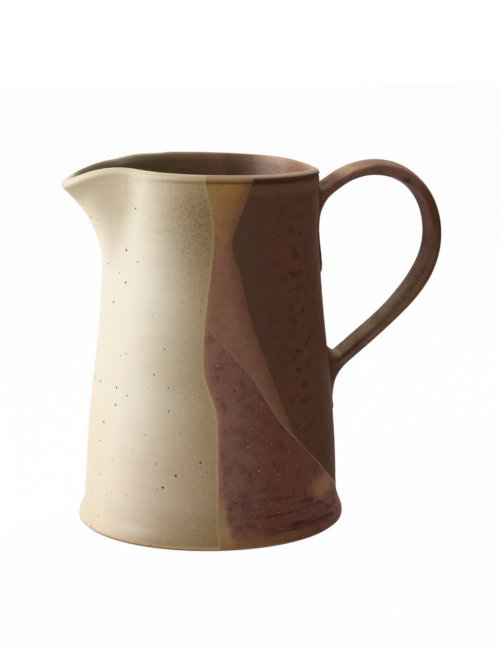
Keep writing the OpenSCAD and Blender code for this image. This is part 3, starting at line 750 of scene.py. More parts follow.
# %% Finish: satin iron-brown glaze, its sagging marks
from_chain = add(tree, "ShaderNodeMath.MULTIPLY_ADD", [drift, 14 * MM, across])
from_chain = add(tree, "ShaderNodeMath.SUBTRACT", [from_chain, 44 * MM])
bow = add(tree, "ShaderNodeMath.MULTIPLY", [from_chain, from_chain])
hang = add(tree, "ShaderNodeMath.MULTIPLY_ADD", [bow, -0.11 / MM, tall])
run_drift = add(tree, "ShaderNodeTexNoise", {"Vector": where, "Scale": per_size(9), "Detail": 4.0})
hang = add(tree, "ShaderNodeMath.MULTIPLY_ADD", [run_drift, 16 * MM, hang])
arcs = add(tree, "ShaderNodeMath.PINGPONG", [hang, 5 * MM])
off_chain = add(tree, "ShaderNodeMath.ABSOLUTE", [from_chain])
colour = lay(
    tree, colour,
    ("sagging marks", "#35140d", (arcs, 1.9 * MM, 0.4 * MM, 0.0, 0.55),
     (off_chain, 7.5 * MM, 3.5 * MM, 0.0, 1.0), (fine_drift, 0.42, 0.58, 0.0, 1.0),
     (lip, -12 * MM, -32 * MM, 0.0, 1.0)))
peel = add(tree, "ShaderNodeTexNoise", {"Vector": where, "Scale": per_size(2.5), "Detail": 2.0})
surface = add(tree, "ShaderNodeBump", {"Strength": 0.5, "Distance": 0.08 * MM, "Height": peel})
rough = add(tree, "ShaderNodeMapRange", [fine_drift, 0.3, 0.7, 0.5, 0.62])
end_finish(brown_glaze, shader, colour, rough, surface)

# %% [markdown]
# The strap was brushed with the same iron glaze, but it is thinner there. Its colours carry painted light
# and shade. The broad outer face over the arch and by the upper root is painted tan, partly thin glaze and
# partly a painted highlight where it faces up to the lamps. The inner face is painted lighter, most of all
# lower down, partly a painted highlight where it faces the key lamp. The outer face round the bend, the
# outermost edge, the faces below the bend and the corner between the inner face and the edge low down are
# painted dark, a painted shade where they turn from the lamps. `face` comes with the mesh: 1 in the middle
# of the outer face,
# 0 on the narrow edges and -1 on the inner face. So does `joined`, which is 0 on the strap and 1 where a
# joint runs out on the wall; there the glaze is as thick and brown as the wall's.

# %% Finish: thin brown glaze of the handle, where it is thin and where light and shade are painted
handle_glaze, tree, shader, where = start_finish(
    "thin iron brown stoneware glaze", **{"IOR": 1.5, "Specular IOR Level": 0.03})
face, joined = [add(tree, "ShaderNodeAttribute", attribute_name=name).outputs["Fac"]
                for name in ("face", "joined")]
across, _, tall = add(tree, "ShaderNodeSeparateXYZ", [where]).outputs
drift = add(tree, "ShaderNodeTexNoise", {"Vector": where, "Scale": per_size(14), "Detail": 4.0})
fine_drift = add(tree, "ShaderNodeTexNoise", {"Vector": where, "Scale": per_size(2.2), "Detail": 3.0})
run_off_and_lit_height = add(tree, "ShaderNodeMath.MULTIPLY_ADD", [drift, 8 * MM, tall])
low = add(tree, "ShaderNodeMapRange", [tall, 152 * MM, 118 * MM, 0.0, 1.0])
# Near the upper root the tan is painted lighter, a painted highlight where the root's top faces the key
# lamp.
tan = lay(tree, srgb("#96775f"), ("tan by the root", "#b5937a", (across, 88 * MM, 76 * MM, 0.0, 1.0)))
# The inner face is painted lighter lower down, partly a painted highlight where it faces up to the lamps.
lining = lay(tree, srgb("#8c5a45"), ("inner face lower down", "#a8896b", low))
upper_half = strength_of(tree, [(tall, 152 * MM, 162 * MM, 0.0, 1.0), (face, -0.75, -0.45, 0.0, 1.0)])
turned_out = add(tree, "ShaderNodeMapRange", [face, -0.25, 0.2, 0.0, 1.0])
turned_out = add(tree, "ShaderNodeMath.MAXIMUM", [turned_out, upper_half])
from_corner = add(tree, "ShaderNodeMath.ABSOLUTE", [add(tree, "ShaderNodeMath.ADD", [face, 0.42])])
run = add(tree, "ShaderNodeVectorMath.SUBTRACT", [where, (107 * MM, -11 * MM, 184 * MM)])
run = add(tree, "ShaderNodeVectorMath.LENGTH", [run])
run = add(tree, "ShaderNodeMath.MULTIPLY_ADD", [fine_drift, 4 * MM, run.outputs["Value"]])
print("the strap's glaze has", len(tree.nodes), "nodes so far")

# %% Finish: thin brown glaze of the handle, its colours and surface
colour = lay(
    tree, srgb("#7d5848"),
    ("lower down", "#8c6d57", low),
    # Painted highlight: the outer face over the arch is painted tan where it faces up to the lamps, partly
    # thinner glaze.
    ("run off over the arch", tan, (run_off_and_lit_height, 178 * MM, 194 * MM, 0.0, 1.0), (face, 0.45, 0.8, 0.0, 1.0)),
    # The inner face is painted lighter and redder than the edges, partly a painted highlight where it faces
    # the key lamp.
    ("inner face", lining, (face, -0.5, -0.85, 0.0, 0.8)),
    # Painted shade: the outer face round the bend, the outermost edge, the faces below the bend and the
    # corner between the inner face and the edge low down are painted dark where they turn from the lamps.
    ("thick round the bend", "#4a2e18",
     (across, 108 * MM, 122 * MM, 0.0, 0.8), (tall, 190 * MM, 178 * MM, 0.0, 1.0), turned_out),
    ("outermost", "#2c180b", (across, 124 * MM, 128.5 * MM, 0.0, 0.75)),
    ("below the bend", "#604632", (tall, 158 * MM, 138 * MM, 0.0, 0.6), turned_out),
    ("pooled along the corner", "#452e20",
     (from_corner, 0.35, 0.1, 0.0, 1.0), (tall, 112 * MM, 94 * MM, 0.0, 0.65)),
    ("smears", "#5f3f2e", (drift, 0.46, 0.64, 0.0, 0.45)),
    ("flecks", "#4c2f20", (fine_drift, 0.52, 0.7, 0.0, 0.4)),
    ("one dark run", "#3a1d13", (run, 6 * MM, 3 * MM, 0.0, 0.75)),
    ("brown of the wall", "#553526", (joined, 0.1, 0.75, 0.0, 0.95)))
surface = add(tree, "ShaderNodeBump", {"Strength": 0.5, "Distance": 0.12 * MM, "Height": fine_drift})
rough = add(tree, "ShaderNodeMapRange", [drift, 0.3, 0.7, 0.46, 0.6])
end_finish(handle_glaze, shader, colour, rough, surface)

# %% [markdown]
# Inside, the liner glaze was poured in and out. It is olive-brown on the spout's half, a little redder
# in the middle and mauve towards the handle, with a dark seam where the second pour stopped; that dark band
# is partly a painted shadow edge, where the near wall's shadow ends, and just past it lies a pink painted
# highlight.
# On the very tip of the spout the cream dip came over it.

# %% Finish: poured liner glaze
liner_glaze, tree, shader, where = start_finish(
    "poured stoneware liner glaze", **{"IOR": 1.5, "Specular IOR Level": 0.15})
across = add(tree, "ShaderNodeSeparateXYZ", [where]).outputs["X"]
drift = add(tree, "ShaderNodeTexNoise", {"Vector": where, "Scale": per_size(18), "Detail": 3.0})
grain = add(tree, "ShaderNodeTexNoise", {"Vector": where, "Scale": per_size(1.2), "Detail": 2.0})
side = add(tree, "ShaderNodeMath.MULTIPLY_ADD", [drift, 6 * MM, across])
colour = lay(
    tree, srgb("#806d49"),
    ("redder middle", "#785644", (side, -8 * MM, 12 * MM, 0.0, 1.0)),
    ("mauve", "#93705f", (side, 26 * MM, 38 * MM, 0.0, 1.0)),
    # A pink painted highlight on the inner wall, where it faces the key lamp.
    ("rosy", "#dab6a5", (side, 37 * MM, 46 * MM, 0.0, 1.0)),
    ("tan by the handle", "#ad7d60", (side, 47 * MM, 54 * MM, 0.0, 0.9)),
    # The dark band is the second pour's seam and partly a painted shadow edge, where the near wall's shadow
    # ends.
    ("seam of the second pour", "#4a3122",
     (side, 19 * MM, 25 * MM, 0.0, 0.75, "SMOOTHSTEP"), (side, 28 * MM, 40 * MM, 1.0, 0.0)),
    ("clouds", "#7d624c", (drift, 0.4, 0.65, 0.0, 0.35)),
    ("grain", "#5d4a33", (grain, 0.5, 0.68, 0.0, 0.3)),
    ("cream over the tip", "#e9dfc9", (across, -70 * MM, -75.5 * MM, 0.0, 0.9)))
surface = add(tree, "ShaderNodeBump", {"Strength": 0.5, "Distance": 0.08 * MM, "Height": drift})
rough = add(tree, "ShaderNodeMapRange", [drift, 0.3, 0.7, 0.36, 0.46])
end_finish(liner_glaze, shader, colour, rough, surface)

# %% [markdown]
# The foot ring and the underside are bare, because glaze there would stick to the kiln shelf. Bare fired
# stoneware is dry and matt, toasted to a warm tan, with sandy grog in it and the fine circles of the
# turning tool.

# %% Finish: bare fired stoneware
bare_clay, tree, shader, where = start_finish("bare fired stoneware", IOR=1.5)
drift = add(tree, "ShaderNodeTexNoise", {"Vector": where, "Scale": per_size(25), "Detail": 3.0})
grog = add(tree, "ShaderNodeTexNoise", {"Vector": where, "Scale": per_size(1), "Detail": 2.0})
colour = lay(
    tree, srgb("#b8926a"),
    ("toasted", "#a67c53", (drift, 0.35, 0.65, 0.0, 1.0)),
    ("sandy grog", "#7d5c3e", (grog, 0.55, 0.7, 0.0, 0.5)))
tool_marks = add(tree, "ShaderNodeTexWave", {"Vector": where, "Scale": per_size(14), "Distortion": 1.5},
                 wave_type="RINGS", rings_direction="Z")
height = add(tree, "ShaderNodeMath.MULTIPLY_ADD", [tool_marks, 0.6, grog])
surface = add(tree, "ShaderNodeBump", {"Strength": 0.6, "Distance": 0.15 * MM, "Height": height})
rough = add(tree, "ShaderNodeMapRange", [grog, 0.3, 0.7, 0.8, 0.95])
end_finish(bare_clay, shader, colour, rough, surface)

# %% [markdown]
# ## The dips
# A dip line is the level of the glaze on a tilted pot, so from the front it is nearly straight; a shake of
# the hand makes it sway. The lines are written as x for each height, seen from the front, and turned
# into a turn about the axis. The back gets the same lines, because one dip goes all round the pot.

# %% Lines of the dips
def wall_radius(rise):
    """Radius of the round wall at a height, without the spout."""
    rise = max(rise, WALL["Foot Rise"])
    drawn = 0.5 + 0.5 * math.tanh((rise - WALL["Draw Height"]) / WALL["Draw Length"])
    flare = math.exp(-((rise - WALL["Foot Rise"]) / WALL["Flare Length"]) ** 2)
    taper = WALL["Rim Radius"] - WALL["Waist Radius"]
    return WALL["Waist Radius"] + taper * drawn + WALL["Foot Flare"] * flare


def ease(value):
    """A smooth step from 0 to 1."""
    value = min(max(value, 0), 1)
    return value * value * (3 - 2 * value)


def sway(rise, seed, size):
    """A small hand-shaken sway of a dip line, in metres."""
    return size * (noise.noise((rise / (14 * MM), seed, 0)) + 0.4 * noise.noise((rise / (4 * MM), seed, 5)))


def bump(value, middle, width):
    """A bell curve, 1 in its middle."""
    return math.exp(-((value - middle) / width) ** 2)


def cream_line(rise):
    """Where the cream ends: it steps aside at half height and at the rim."""
    step = ease((165 * MM - rise) / (62 * MM)) * (1 - ease((95 * MM - rise) / (26 * MM)))
    at_rim = bump(rise, WALL["Height"], 15 * MM)
    return -10.9 * MM - 6.4 * MM * step - 4.4 * MM * at_rim + sway(rise, 1.3, 0.5 * MM)


def brown_line(rise):
    """Where the brown starts: a point towards the spout, a slope that sags and a flatter end below."""
    point_z, point_x, bend_z, bend_x = 159 * MM, -1.2 * MM, 56 * MM, 32.5 * MM
    above_slope, below_slope, point_round = math.radians(20), math.radians(48), 4 * MM
    sag, sag_z, sag_length = 1.4 * MM, 139 * MM, 11 * MM
    if rise > point_z:
        x = point_x + math.tan(above_slope) * (math.hypot(rise - point_z, point_round) - point_round)
    elif rise > bend_z:
        x = point_x + (bend_x - point_x) * ((point_z - rise) / (point_z - bend_z)) ** 1.35
        x += sag * bump(rise, sag_z, sag_length)
    else:
        x = bend_x + (bend_z - rise) / math.tan(below_slope)
    return x + sway(rise, 8.7, 0.5 * MM)


def line_turn(x, rise):
    """The turn from the spout at which a dip line crosses the front of the wall."""
    return math.pi - math.acos(min(max(x / wall_radius(rise), -1), 1))


print("cream line at mid height is at", round(cream_line(0.1) / MM, 1), "mm,",
      "brown line at", round(brown_line(0.1) / MM, 1), "mm")

# %% [markdown]
# ## Coats of glaze
# The rows of a pattern follow the wall from the bare foot to the lip and over it. They lie close together
# in the groove under the lip and on the foot, where the form turns quickly. Between two dip lines the
# columns crowd towards the edges, so that a coat can end in a small rounded bead instead of a cut. The
# groove is half filled with glaze, and the finger that pulled the spout has nearly wiped it out there.

# %% Rows and columns of a coat
def steps(first, last, size):
    """Even steps from first to last, about size apart, without the last."""
    count = max(1, round(abs(last - first) / size))
    return [first + (last - first) * k / count for k in range(count)]


glaze_foot = 1.65 * MM
RISES = (steps(glaze_foot, 4 * MM, 0.3 * MM) + steps(4 * MM, 26 * MM, 0.9 * MM)
         + steps(26 * MM, 187 * MM, 1.2 * MM) + steps(187 * MM, lip_z, 0.3 * MM))
OVER_LIP = [math.radians(a) for a in range(0, 131, 10)]


def between(a, b, share):
    """The value a share of the way from a to b."""
    return a + (b - a) * share


def groove(rise, turn):
    """Share of the groove's full depth; towards the spout it is wiped out and lies a little lower."""
    off = math.pi - abs(math.pi - abs(turn))
    away = ease((off - math.radians(34)) / math.radians(50))
    drop = between(groove_drop, 0.4 * groove_drop, away)
    width = between(groove_width, 0.65 * groove_width, away)
    return between(0.15, 1, away) * bump(rise - lip_z + drop, 0, width)


def rounded(distance, width=0.45 * MM):
    """Height of a rounded edge, from 0 at the edge to 1 at its width."""
    return math.sqrt(max(0, 1 - (1 - min(distance / width, 1)) ** 2))


bead_place, bead_width, crowding = 0.9 * MM, 0.7 * MM, 0.85
lip_loss, lip_loss_from, lip_loss_run = 0.6, 1.7, 0.5


def coat_rows(first, last, columns, coat, bead, shaded_from=None):
    """Pattern rows of a coat between two lines, given as turns for each rise."""
    rows = []
    for rise, over in [(rise, 0) for rise in RISES] + [(lip_z, over) for over in OVER_LIP]:
        left, right, radius = first(rise), last(rise), wall_radius(rise)
        joins_left, joins_right = left < 0.001 - math.pi, abs(right - math.pi) < 0.001
        row = []
        for k in range(columns):
            share = k / (columns - 1)
            share -= crowding * math.sin(math.tau * share) / math.tau
            turn = left + (right - left) * share
            inset = radius * min(math.pi if joins_left else turn - left,
                                 math.pi if joins_right else right - turn)
            thick = coat * rounded(inset) + bead * bump(inset, bead_place, bead_width)
            thick *= rounded(rise - glaze_foot)
            edge = inset if shaded_from is None else abs(abs(turn) - shaded_from(rise)) * radius
            if over:
                thick *= 1 - lip_loss * ease((over - lip_loss_from) / lip_loss_run)
                out = (lip_radius + thick) * math.cos(over) - lip_radius
                up = (lip_radius + thick) * math.sin(over)
                row.append((turn, lip_z, out, up, 0, over * lip_radius, edge, 0, inset))
            else:
                cut = groove(rise, turn)
                row.append((turn, rise, thick - groove_depth * cut, 0, 0, rise - lip_z, edge, cut, inset))
        rows.append(row)
    return rows


print(len(RISES), "rows up the wall and", len(OVER_LIP), "over the lip")

# %% [markdown]
# Cream and brown were dipped first, so they run a little way under the plum. The plum coat lies on top
# and is the thickest: its beaded edge is the fine raised line that catches the light in the photograph.

# %% Cream, plum and brown coats
tucked_under = 1.5 * MM
coat_thick, plum_thick, plum_bead = 0.5 * MM, 0.56 * MM, 0.04 * MM
cream_columns, brown_columns, plum_columns = 170, 200, 80


def cream_turn(rise, under=0):
    """The turn of the cream's line, or of a line a little way under the plum."""
    return line_turn(cream_line(rise), rise) + under / wall_radius(rise)


def brown_turn(rise, under=0):
    """The turn of the brown's line, or of a line a little way under the plum."""
    return line_turn(brown_line(rise), rise) - under / wall_radius(rise)


cream_coat = wrap("cream_coat", [coat_rows(
    lambda z: -cream_turn(z, tucked_under), lambda z: cream_turn(z, tucked_under),
    cream_columns, coat_thick, 0)], False, cream_glaze)
settle(cream_coat, "cream", "cream_glaze")
brown_coat = wrap("brown_coat", [coat_rows(
    lambda z: brown_turn(z, tucked_under), lambda z: math.tau - brown_turn(z, tucked_under),
    brown_columns, coat_thick, 0)], False, brown_glaze)
settle(brown_coat, "brown", "brown_glaze")
plum_coat = wrap("plum_coat", [
    coat_rows(first, last, plum_columns, plum_thick, plum_bead, cream_turn)
    for first, last in ((cream_turn, brown_turn), (lambda z: -brown_turn(z), lambda z: -cream_turn(z)))],
    False, plum_glaze)
settle(plum_coat, "plum", "plum_glaze")

# %% [markdown]
# The body under the glaze is the same wall with nothing on it, closed over the lip, the floor and the
# foot. Only its foot ring and shallow underside show. The liner is the inside surface alone, a coat
# thick, from just inside the lip down to the middle of the floor, with a fillet where the potter's
# rib ran round the corner.

# %% Rows of the body and of the liner
floor_top, floor_fillet = 7 * MM, 12 * MM
recess_radius, recess_depth = 58 * MM, 1.5 * MM
around_count = 224
around = [math.tau * k / around_count - math.pi for k in range(around_count)]
sunk = -0.1 * MM


def ring(out, up, lip_distance=-lip_z):
    """A plain turned circle of pattern points."""
    return [(turn, 0, out, up, 1, lip_distance, 0, 0, 0) for turn in around]


def inside_rows(coat, first_over, row_step):
    """Rows from a place on the lip, down the inside and across the floor to its middle."""
    rows = []
    for over in steps(first_over, math.pi, 0.16):
        out, up = (lip_radius + coat) * math.cos(over) - lip_radius, (lip_radius + coat) * math.sin(over)
        rows.append([(turn, lip_z, out, up, 0, over * lip_radius, 0, 0, 0) for turn in around])
    corner_z = floor_top + floor_fillet
    for rise in steps(lip_z, corner_z, row_step):
        rows.append([(turn, rise, -wall_thickness - coat, 0, 0, lip_z, 0, 0, 0) for turn in around])
    corner = wall_radius(corner_z) - wall_thickness - floor_fillet
    for k in range(10):
        angle = math.pi / 2 * k / 9
        rows.append(ring(corner + (floor_fillet - coat) * math.cos(angle),
                         corner_z - (floor_fillet - coat) * math.sin(angle), lip_z))
    rows += [ring(radius, floor_top + coat, lip_z) for radius in steps(corner, 0, 3 * MM)[1:]]
    return rows + [ring(0, floor_top + coat, lip_z)]


def bare_rows():
    """Rows from the middle of the underside, round the foot and up the outside to the lip."""
    rows = [ring(0, recess_depth)] + [ring(r, recess_depth) for r in steps(4 * MM, 56 * MM, 4 * MM)]
    rows += [ring(recess_radius - recess_depth, recess_depth), ring(recess_radius - 0.4 * MM, 0.4 * MM),
             ring(recess_radius, 0.12 * MM), ring(recess_radius + 0.3 * MM, 0)]
    for rise in steps(0, glaze_foot, 0.2 * MM) + RISES[::3] + [lip_z]:
        rows.append([(turn, rise, sunk - groove_depth * groove(rise, turn), 0, 0, rise - lip_z, 0, 0, 0)
                     for turn in around])
    return rows


print("circles of", around_count, "points, the floor's top is at", round(floor_top / MM), "mm")

# %% Bare body and liner
body_piece = wrap("thrown_body", [bare_rows() + inside_rows(sunk, 0.1, 5 * MM)], True, bare_clay)
settle(body_piece, "clay", "body")
liner_piece = wrap("liner", [inside_rows(0.42 * MM, 1.75, 1.6 * MM)], True, liner_glaze)
settle(liner_piece, "liner", "liner_glaze")

# %% [markdown]
# ## The handle
# A pulled handle is a strap drawn out of a lump of wet clay, so it tapers, and it is bent into a loop while
# soft. That is a section that follows a path, which is what the next tree does: it wraps a tube round
# a curve, with the thickness and width worked out at each place along it. The section is a flat band with
# rounded edges and a crowned outer face, rounder towards its lower end, from the hand that drew it out. The
# path is two cubic curves that meet at the outermost point of the loop, as in the part's source.

# %% Path of the strap
def bezier(p, t):
    """A point of a cubic curve from its four points."""
    return (p[0] * (1 - t) ** 3 + p[1] * 3 * (1 - t) ** 2 * t + p[2] * 3 * (1 - t) * t * t + p[3] * t ** 3)


root_z, low_z = 175.6 * MM, 82 * MM
root = Vector((wall_radius(root_z) + 2 * MM, 0, root_z))
bow = Vector((126.5 * MM, 0, 153.6 * MM))
low = Vector((wall_radius(low_z) + 4.5 * MM, 0, low_z))
upper_curve = [root, root + Vector((22.7, 0, 28.6)) * MM, bow + Vector((0, 0, 39)) * MM, bow]
lower_curve = [bow, bow - Vector((0, 0, 29.8)) * MM, low + Vector((24.7, 0, 21)) * MM, low]
strap_start, strap_end, path_step = 0.12, 0.92, 0.02
path_points = [bezier(upper_curve, t) for t in steps(strap_start, 1, path_step)]
path_points += [bezier(lower_curve, t) for t in steps(0, strap_end, path_step)]
path_points += [bezier(lower_curve, strap_end)]
path_mesh = bpy.data.meshes.new("strap_path")
path_mesh.from_pydata(path_points, [(k, k + 1) for k in range(len(path_points) - 1)], [])
print("strap path of", len(path_points), "points, loop reaches", round(bow.x / MM, 1), "mm")

# %% Sizes of the strap
STRAP = {
    "Thickness Top": 6.6 * MM, "Thickness Middle": 7.1 * MM, "Thickness Low": 7.6 * MM,
    "Arch Swell": 2.0 * MM, "Lower Swell": 1.2 * MM,
    "Width Top": 25 * MM, "Width Low": 22 * MM, "Crown Top": 2.2 * MM, "Crown Low": 0.6 * MM,
    "Power Top": 0.45, "Power Low": 0.75, "Hand Ripple": 0.05,
}
SWELLS = (("Arch Swell", 0.2, 0.1), ("Lower Swell", 0.66, 0.1))
section_count, strap_rings = 72, 180
print(len(STRAP), "sizes, the strap is", round(STRAP["Width Top"] / MM), "mm wide above and",
      round(STRAP["Width Low"] / MM), "mm below")

# %% Geometry nodes: pulled strap, its section
strap, given = new_group("pulled strap", "GeometryNodeTree", {**shape_in, **STRAP, **finish_in}, shape_in)
path = add(strap, "GeometryNodeMeshToCurve", [given["Geometry"]])
tube = add(strap, "GeometryNodeMeshCylinder",
           {"Vertices": section_count, "Side Segments": strap_rings, "Radius": 1.0, "Depth": 1.0},
           fill_type="NGON")
on_tube = add(strap, "GeometryNodeInputPosition")
side, edgewise, along = add(strap, "ShaderNodeSeparateXYZ", [on_tube]).outputs
along = add(strap, "ShaderNodeMath.ADD", [along, 0.5])
sample = add(strap, "GeometryNodeSampleCurve", {"Curves": path, "Factor": along}, mode="FACTOR")
early = add(strap, "ShaderNodeMapRange",
            [along, 0.0, 0.5, given["Thickness Top"], given["Thickness Middle"]])
loss = add(strap, "ShaderNodeMath.SUBTRACT", [given["Thickness Low"], given["Thickness Middle"]])
late = add(strap, "ShaderNodeMapRange", [along, 0.5, 1.0, 0.0, loss])
thick = add(strap, "ShaderNodeMath.ADD", [early, late])
for name, place, width in SWELLS:
    swell = add(strap, "ShaderNodeMath.SUBTRACT", [along, place])
    swell = add(strap, "GeometryNodeGroup", [swell, width], node_tree=bell)
    thick = add(strap, "ShaderNodeMath.MULTIPLY_ADD", [swell, given[name], thick])
wide = add(strap, "ShaderNodeMapRange", [along, 0.0, 1.0, given["Width Top"], given["Width Low"]])
crown = add(strap, "ShaderNodeMapRange", [along, 0.0, 1.0, given["Crown Top"], given["Crown Low"]])
power = add(strap, "ShaderNodeMapRange", [along, 0.0, 1.0, given["Power Top"], given["Power Low"]])
section, flats = [], []
for axis, full in ((side, thick), (edgewise, wide)):
    flat = add(strap, "ShaderNodeMath.POWER",
               [add(strap, "ShaderNodeMath.ABSOLUTE", [axis]), power])
    flat = add(strap, "ShaderNodeMath.MULTIPLY", [flat, add(strap, "ShaderNodeMath.SIGN", [axis])])
    flats.append(flat)
    flat = add(strap, "ShaderNodeMath.MULTIPLY", [flat, full])
    section.append(add(strap, "ShaderNodeMath.MULTIPLY", [flat, 0.5]))
fall = add(strap, "ShaderNodeMath.MULTIPLY", [flats[1], flats[1]])
fall = add(strap, "ShaderNodeMath.MULTIPLY", [fall, add(strap, "ShaderNodeMath.MAXIMUM", [flats[0], 0.0])])
fall = add(strap, "ShaderNodeMath.MULTIPLY", [fall, crown])
section[0] = add(strap, "ShaderNodeMath.SUBTRACT", [section[0], fall])
print("the section takes", len(strap.nodes), "nodes")

# %% Geometry nodes: pulled strap, along its path
ripple = add(strap, "ShaderNodeTexNoise",
             {"Vector": sample.outputs["Position"], "Scale": per_size(16), "Detail": 1.0, "W": 2.0},
             noise_dimensions="4D")
ripple = add(strap, "ShaderNodeMath.SUBTRACT", [ripple, 1.0])
from_end = add(strap, "ShaderNodeMath.PINGPONG", [along, 0.5])
from_end = add(strap, "ShaderNodeMapRange", [from_end, 0.08, 0.2, 0.0, 1.0])
ripple = add(strap, "ShaderNodeMath.MULTIPLY", [ripple, from_end])
ripple = add(strap, "ShaderNodeMath.MULTIPLY_ADD", [ripple, given["Hand Ripple"], 1.0])
facing = add(strap, "ShaderNodeVectorMath.CROSS_PRODUCT", [sample.outputs["Tangent"], (0.0, 1.0, 0.0)])
offset = add(strap, "ShaderNodeVectorMath.SCALE", {"Vector": facing, "Scale": section[0]})
sideways = add(strap, "ShaderNodeVectorMath.SCALE", {"Vector": (0.0, -1.0, 0.0), "Scale": section[1]})
offset = add(strap, "ShaderNodeVectorMath.ADD", [offset, sideways])
offset = add(strap, "ShaderNodeVectorMath.SCALE", {"Vector": offset, "Scale": ripple})
place = add(strap, "ShaderNodeVectorMath.ADD", [sample.outputs["Position"], offset])
marked = add(strap, "GeometryNodeStoreNamedAttribute", {"Geometry": tube, "Name": "face", "Value": side},
             data_type="FLOAT", domain="POINT")
pulled = add(strap, "GeometryNodeSetPosition", {"Geometry": marked, "Position": place})
pulled = add(strap, "GeometryNodeSetShadeSmooth",
             {"Geometry": pulled, "Selection": tube.outputs["Side"], "Shade Smooth": True})
pulled = add(strap, "GeometryNodeRealizeInstances", [pulled])
pulled = add(strap, "GeometryNodeSetMaterial", {"Geometry": pulled, "Material": given["Finish"]})
add(strap, "NodeGroupOutput", [pulled])
handle_piece = finished("handle_strap", path_mesh, strap, handle_glaze)
settle(handle_piece, "brown", "handle")

# %% [markdown]
# The strap's ends are luted on with soft clay, which is smeared out onto the wall with a thumb. Above, the
# smear runs down in a long tail; below, it spreads into a broad fillet. Each joint is a set of curves
# that leave the strap along its own direction and lie down on the wall. The wall here is the finished
# brown coat, so a ray finds the place where each curve has to land. A real joint is wiped smooth over the
# strap's end, so the first rings lap over the strap and come out of it by a few hundredths of a millimetre.

# %% Where the clay of a joint starts and lands
coat_shape = bmesh.new()
coat_shape.from_mesh(brown_coat.data)
coat_tree = BVHTree.FromBMesh(coat_shape)
flare_rings = 30
angles = [math.tau * k / section_count for k in range(section_count)]
lap_swells = (-0.03 * MM, -0.005 * MM, 0.015 * MM, 0.03 * MM, 0.04 * MM, 0.04 * MM)
foot_depth, skirt_depth = 0.15 * MM, 3 * MM
lengths = [0]
for near, far in zip(path_points, path_points[1:]):
    lengths.append(lengths[-1] + (far - near).length)
last = len(path_points) - 1


def signed_power(value, power):
    """A power that keeps the sign, as the section of the strap needs."""
    return math.copysign(abs(value) ** power, value)


def strap_ring(k, swell):
    """The strap's section at one point of its path, a little larger, by the same rule as the tree."""
    along = lengths[k] / lengths[-1]
    power = between(STRAP["Power Top"], STRAP["Power Low"], along)
    thick = between(STRAP["Thickness Top"], STRAP["Thickness Middle"], min(2 * along, 1))
    thick = between(thick, STRAP["Thickness Low"], max(2 * along - 1, 0)) + swell
    thick += sum(STRAP[name] * bump(along, place, width) for name, place, width in SWELLS)
    wide = between(STRAP["Width Top"], STRAP["Width Low"], along) + swell
    crown = between(STRAP["Crown Top"], STRAP["Crown Low"], along)
    onward = (path_points[min(k + 1, last)] - path_points[max(k - 1, 0)]).normalized()
    face = onward.cross(Vector((0, 1, 0)))
    row = []
    for angle in angles:
        side, edgewise = signed_power(math.cos(angle), power), signed_power(math.sin(angle), power)
        out = 0.5 * thick * side - crown * max(side, 0) * edgewise ** 2
        row.append(path_points[k] + face * out + Vector((0, 0.5 * wide * edgewise, 0)))
    return row


def on_coat(y, z):
    """The place just under the brown coat, straight in from beyond the handle."""
    hit = coat_tree.ray_cast(Vector((200 * MM, y, z)), Vector((-1, 0, 0)))[0]
    return hit - Vector((foot_depth, 0, 0))


def along_to_wall(point, run):
    """How far a point goes along a direction until it meets the brown coat."""
    hit, _, _, distance = coat_tree.ray_cast(point, run)
    return distance if hit else (wall_radius(point.z) - point.x) / run.x


print("joints of", section_count, "curves each")

# %% Clay of a luted joint
def luted(name, ends, half_width, drop, hug, tail, outward):
    """The clay from its lap over an end of the strap to its feet on the wall, as one closed piece."""
    rings = [strap_ring(k, swell) for k, swell in zip(ends, lap_swells)]
    end = path_points[ends[-1]]
    run = (end - path_points[ends[-2]]).normalized()
    middle = (end + run * along_to_wall(end, run)).z
    feet = [on_coat(half_width * signed_power(math.sin(angle), 0.8), middle + drop(math.cos(angle)))
            for angle in angles]
    lap = rings.pop()
    lap_count = len(rings)
    for s in range(flare_rings + 1):
        t = s / flare_rings
        row = []
        for angle, point, foot in zip(angles, lap, feet):
            hit = point + run * along_to_wall(point, run)
            hugs = hug(math.cos(angle))
            place = bezier([point, point.lerp(hit, hugs), foot.lerp(hit, hugs), foot], t)
            place.x += tail(t, math.cos(angle))
            row.append(place)
        rings.append(row)
    rings.append([foot - Vector((skirt_depth, 0, 0)) for foot in feet])
    points = [point for row in rings for point in row]
    n = section_count
    faces = []
    for r in range(len(rings) - 1):
        for k in range(n):
            m = (k + 1) % n
            faces.append((r * n + k, r * n + m, (r + 1) * n + m, (r + 1) * n + k))
    faces.append(tuple(reversed(range(n))))
    faces.append(tuple((len(rings) - 1) * n + k for k in range(n)))
    if not outward:
        faces = [tuple(reversed(face)) for face in faces]
    mesh = bpy.data.meshes.new(name)
    mesh.from_pydata(points, [], faces)
    mesh.polygons.foreach_set("use_smooth", [len(p.vertices) == 4 for p in mesh.polygons])
    faces_out = [math.cos(angle) for angle in angles] * len(rings)
    mesh.attributes.new("face", "FLOAT", "POINT").data.foreach_set("value", faces_out)
    joined = [min(max((r - lap_count) / flare_rings, 0), 1) for r in range(len(rings)) for _ in range(n)]
    mesh.attributes.new("joined", "FLOAT", "POINT").data.foreach_set("value", joined)
    mesh.materials.append(handle_glaze)
    piece = bpy.data.objects.new(name, mesh)
    bpy.context.collection.objects.link(piece)
    print(name, "has", len(faces), "faces")
    return piece


print("a joint flares out in", flare_rings, "rings")

# %% Upper joint, with its long tail
def upper_tail(t, c):
    """Clay left standing on the wall: a tail that thins downwards and ends in a small thumbed nub."""
    stands = between(-0.4, 0.2, ease((t - 0.55) / 0.3)) * ease((t - 0.35) / 0.2)
    stands *= 1 - ease((t - 0.94) / 0.06)
    return max(0, -c) ** 2 * MM * (stands + 1.8 * bump(t, 0.93, 0.035))


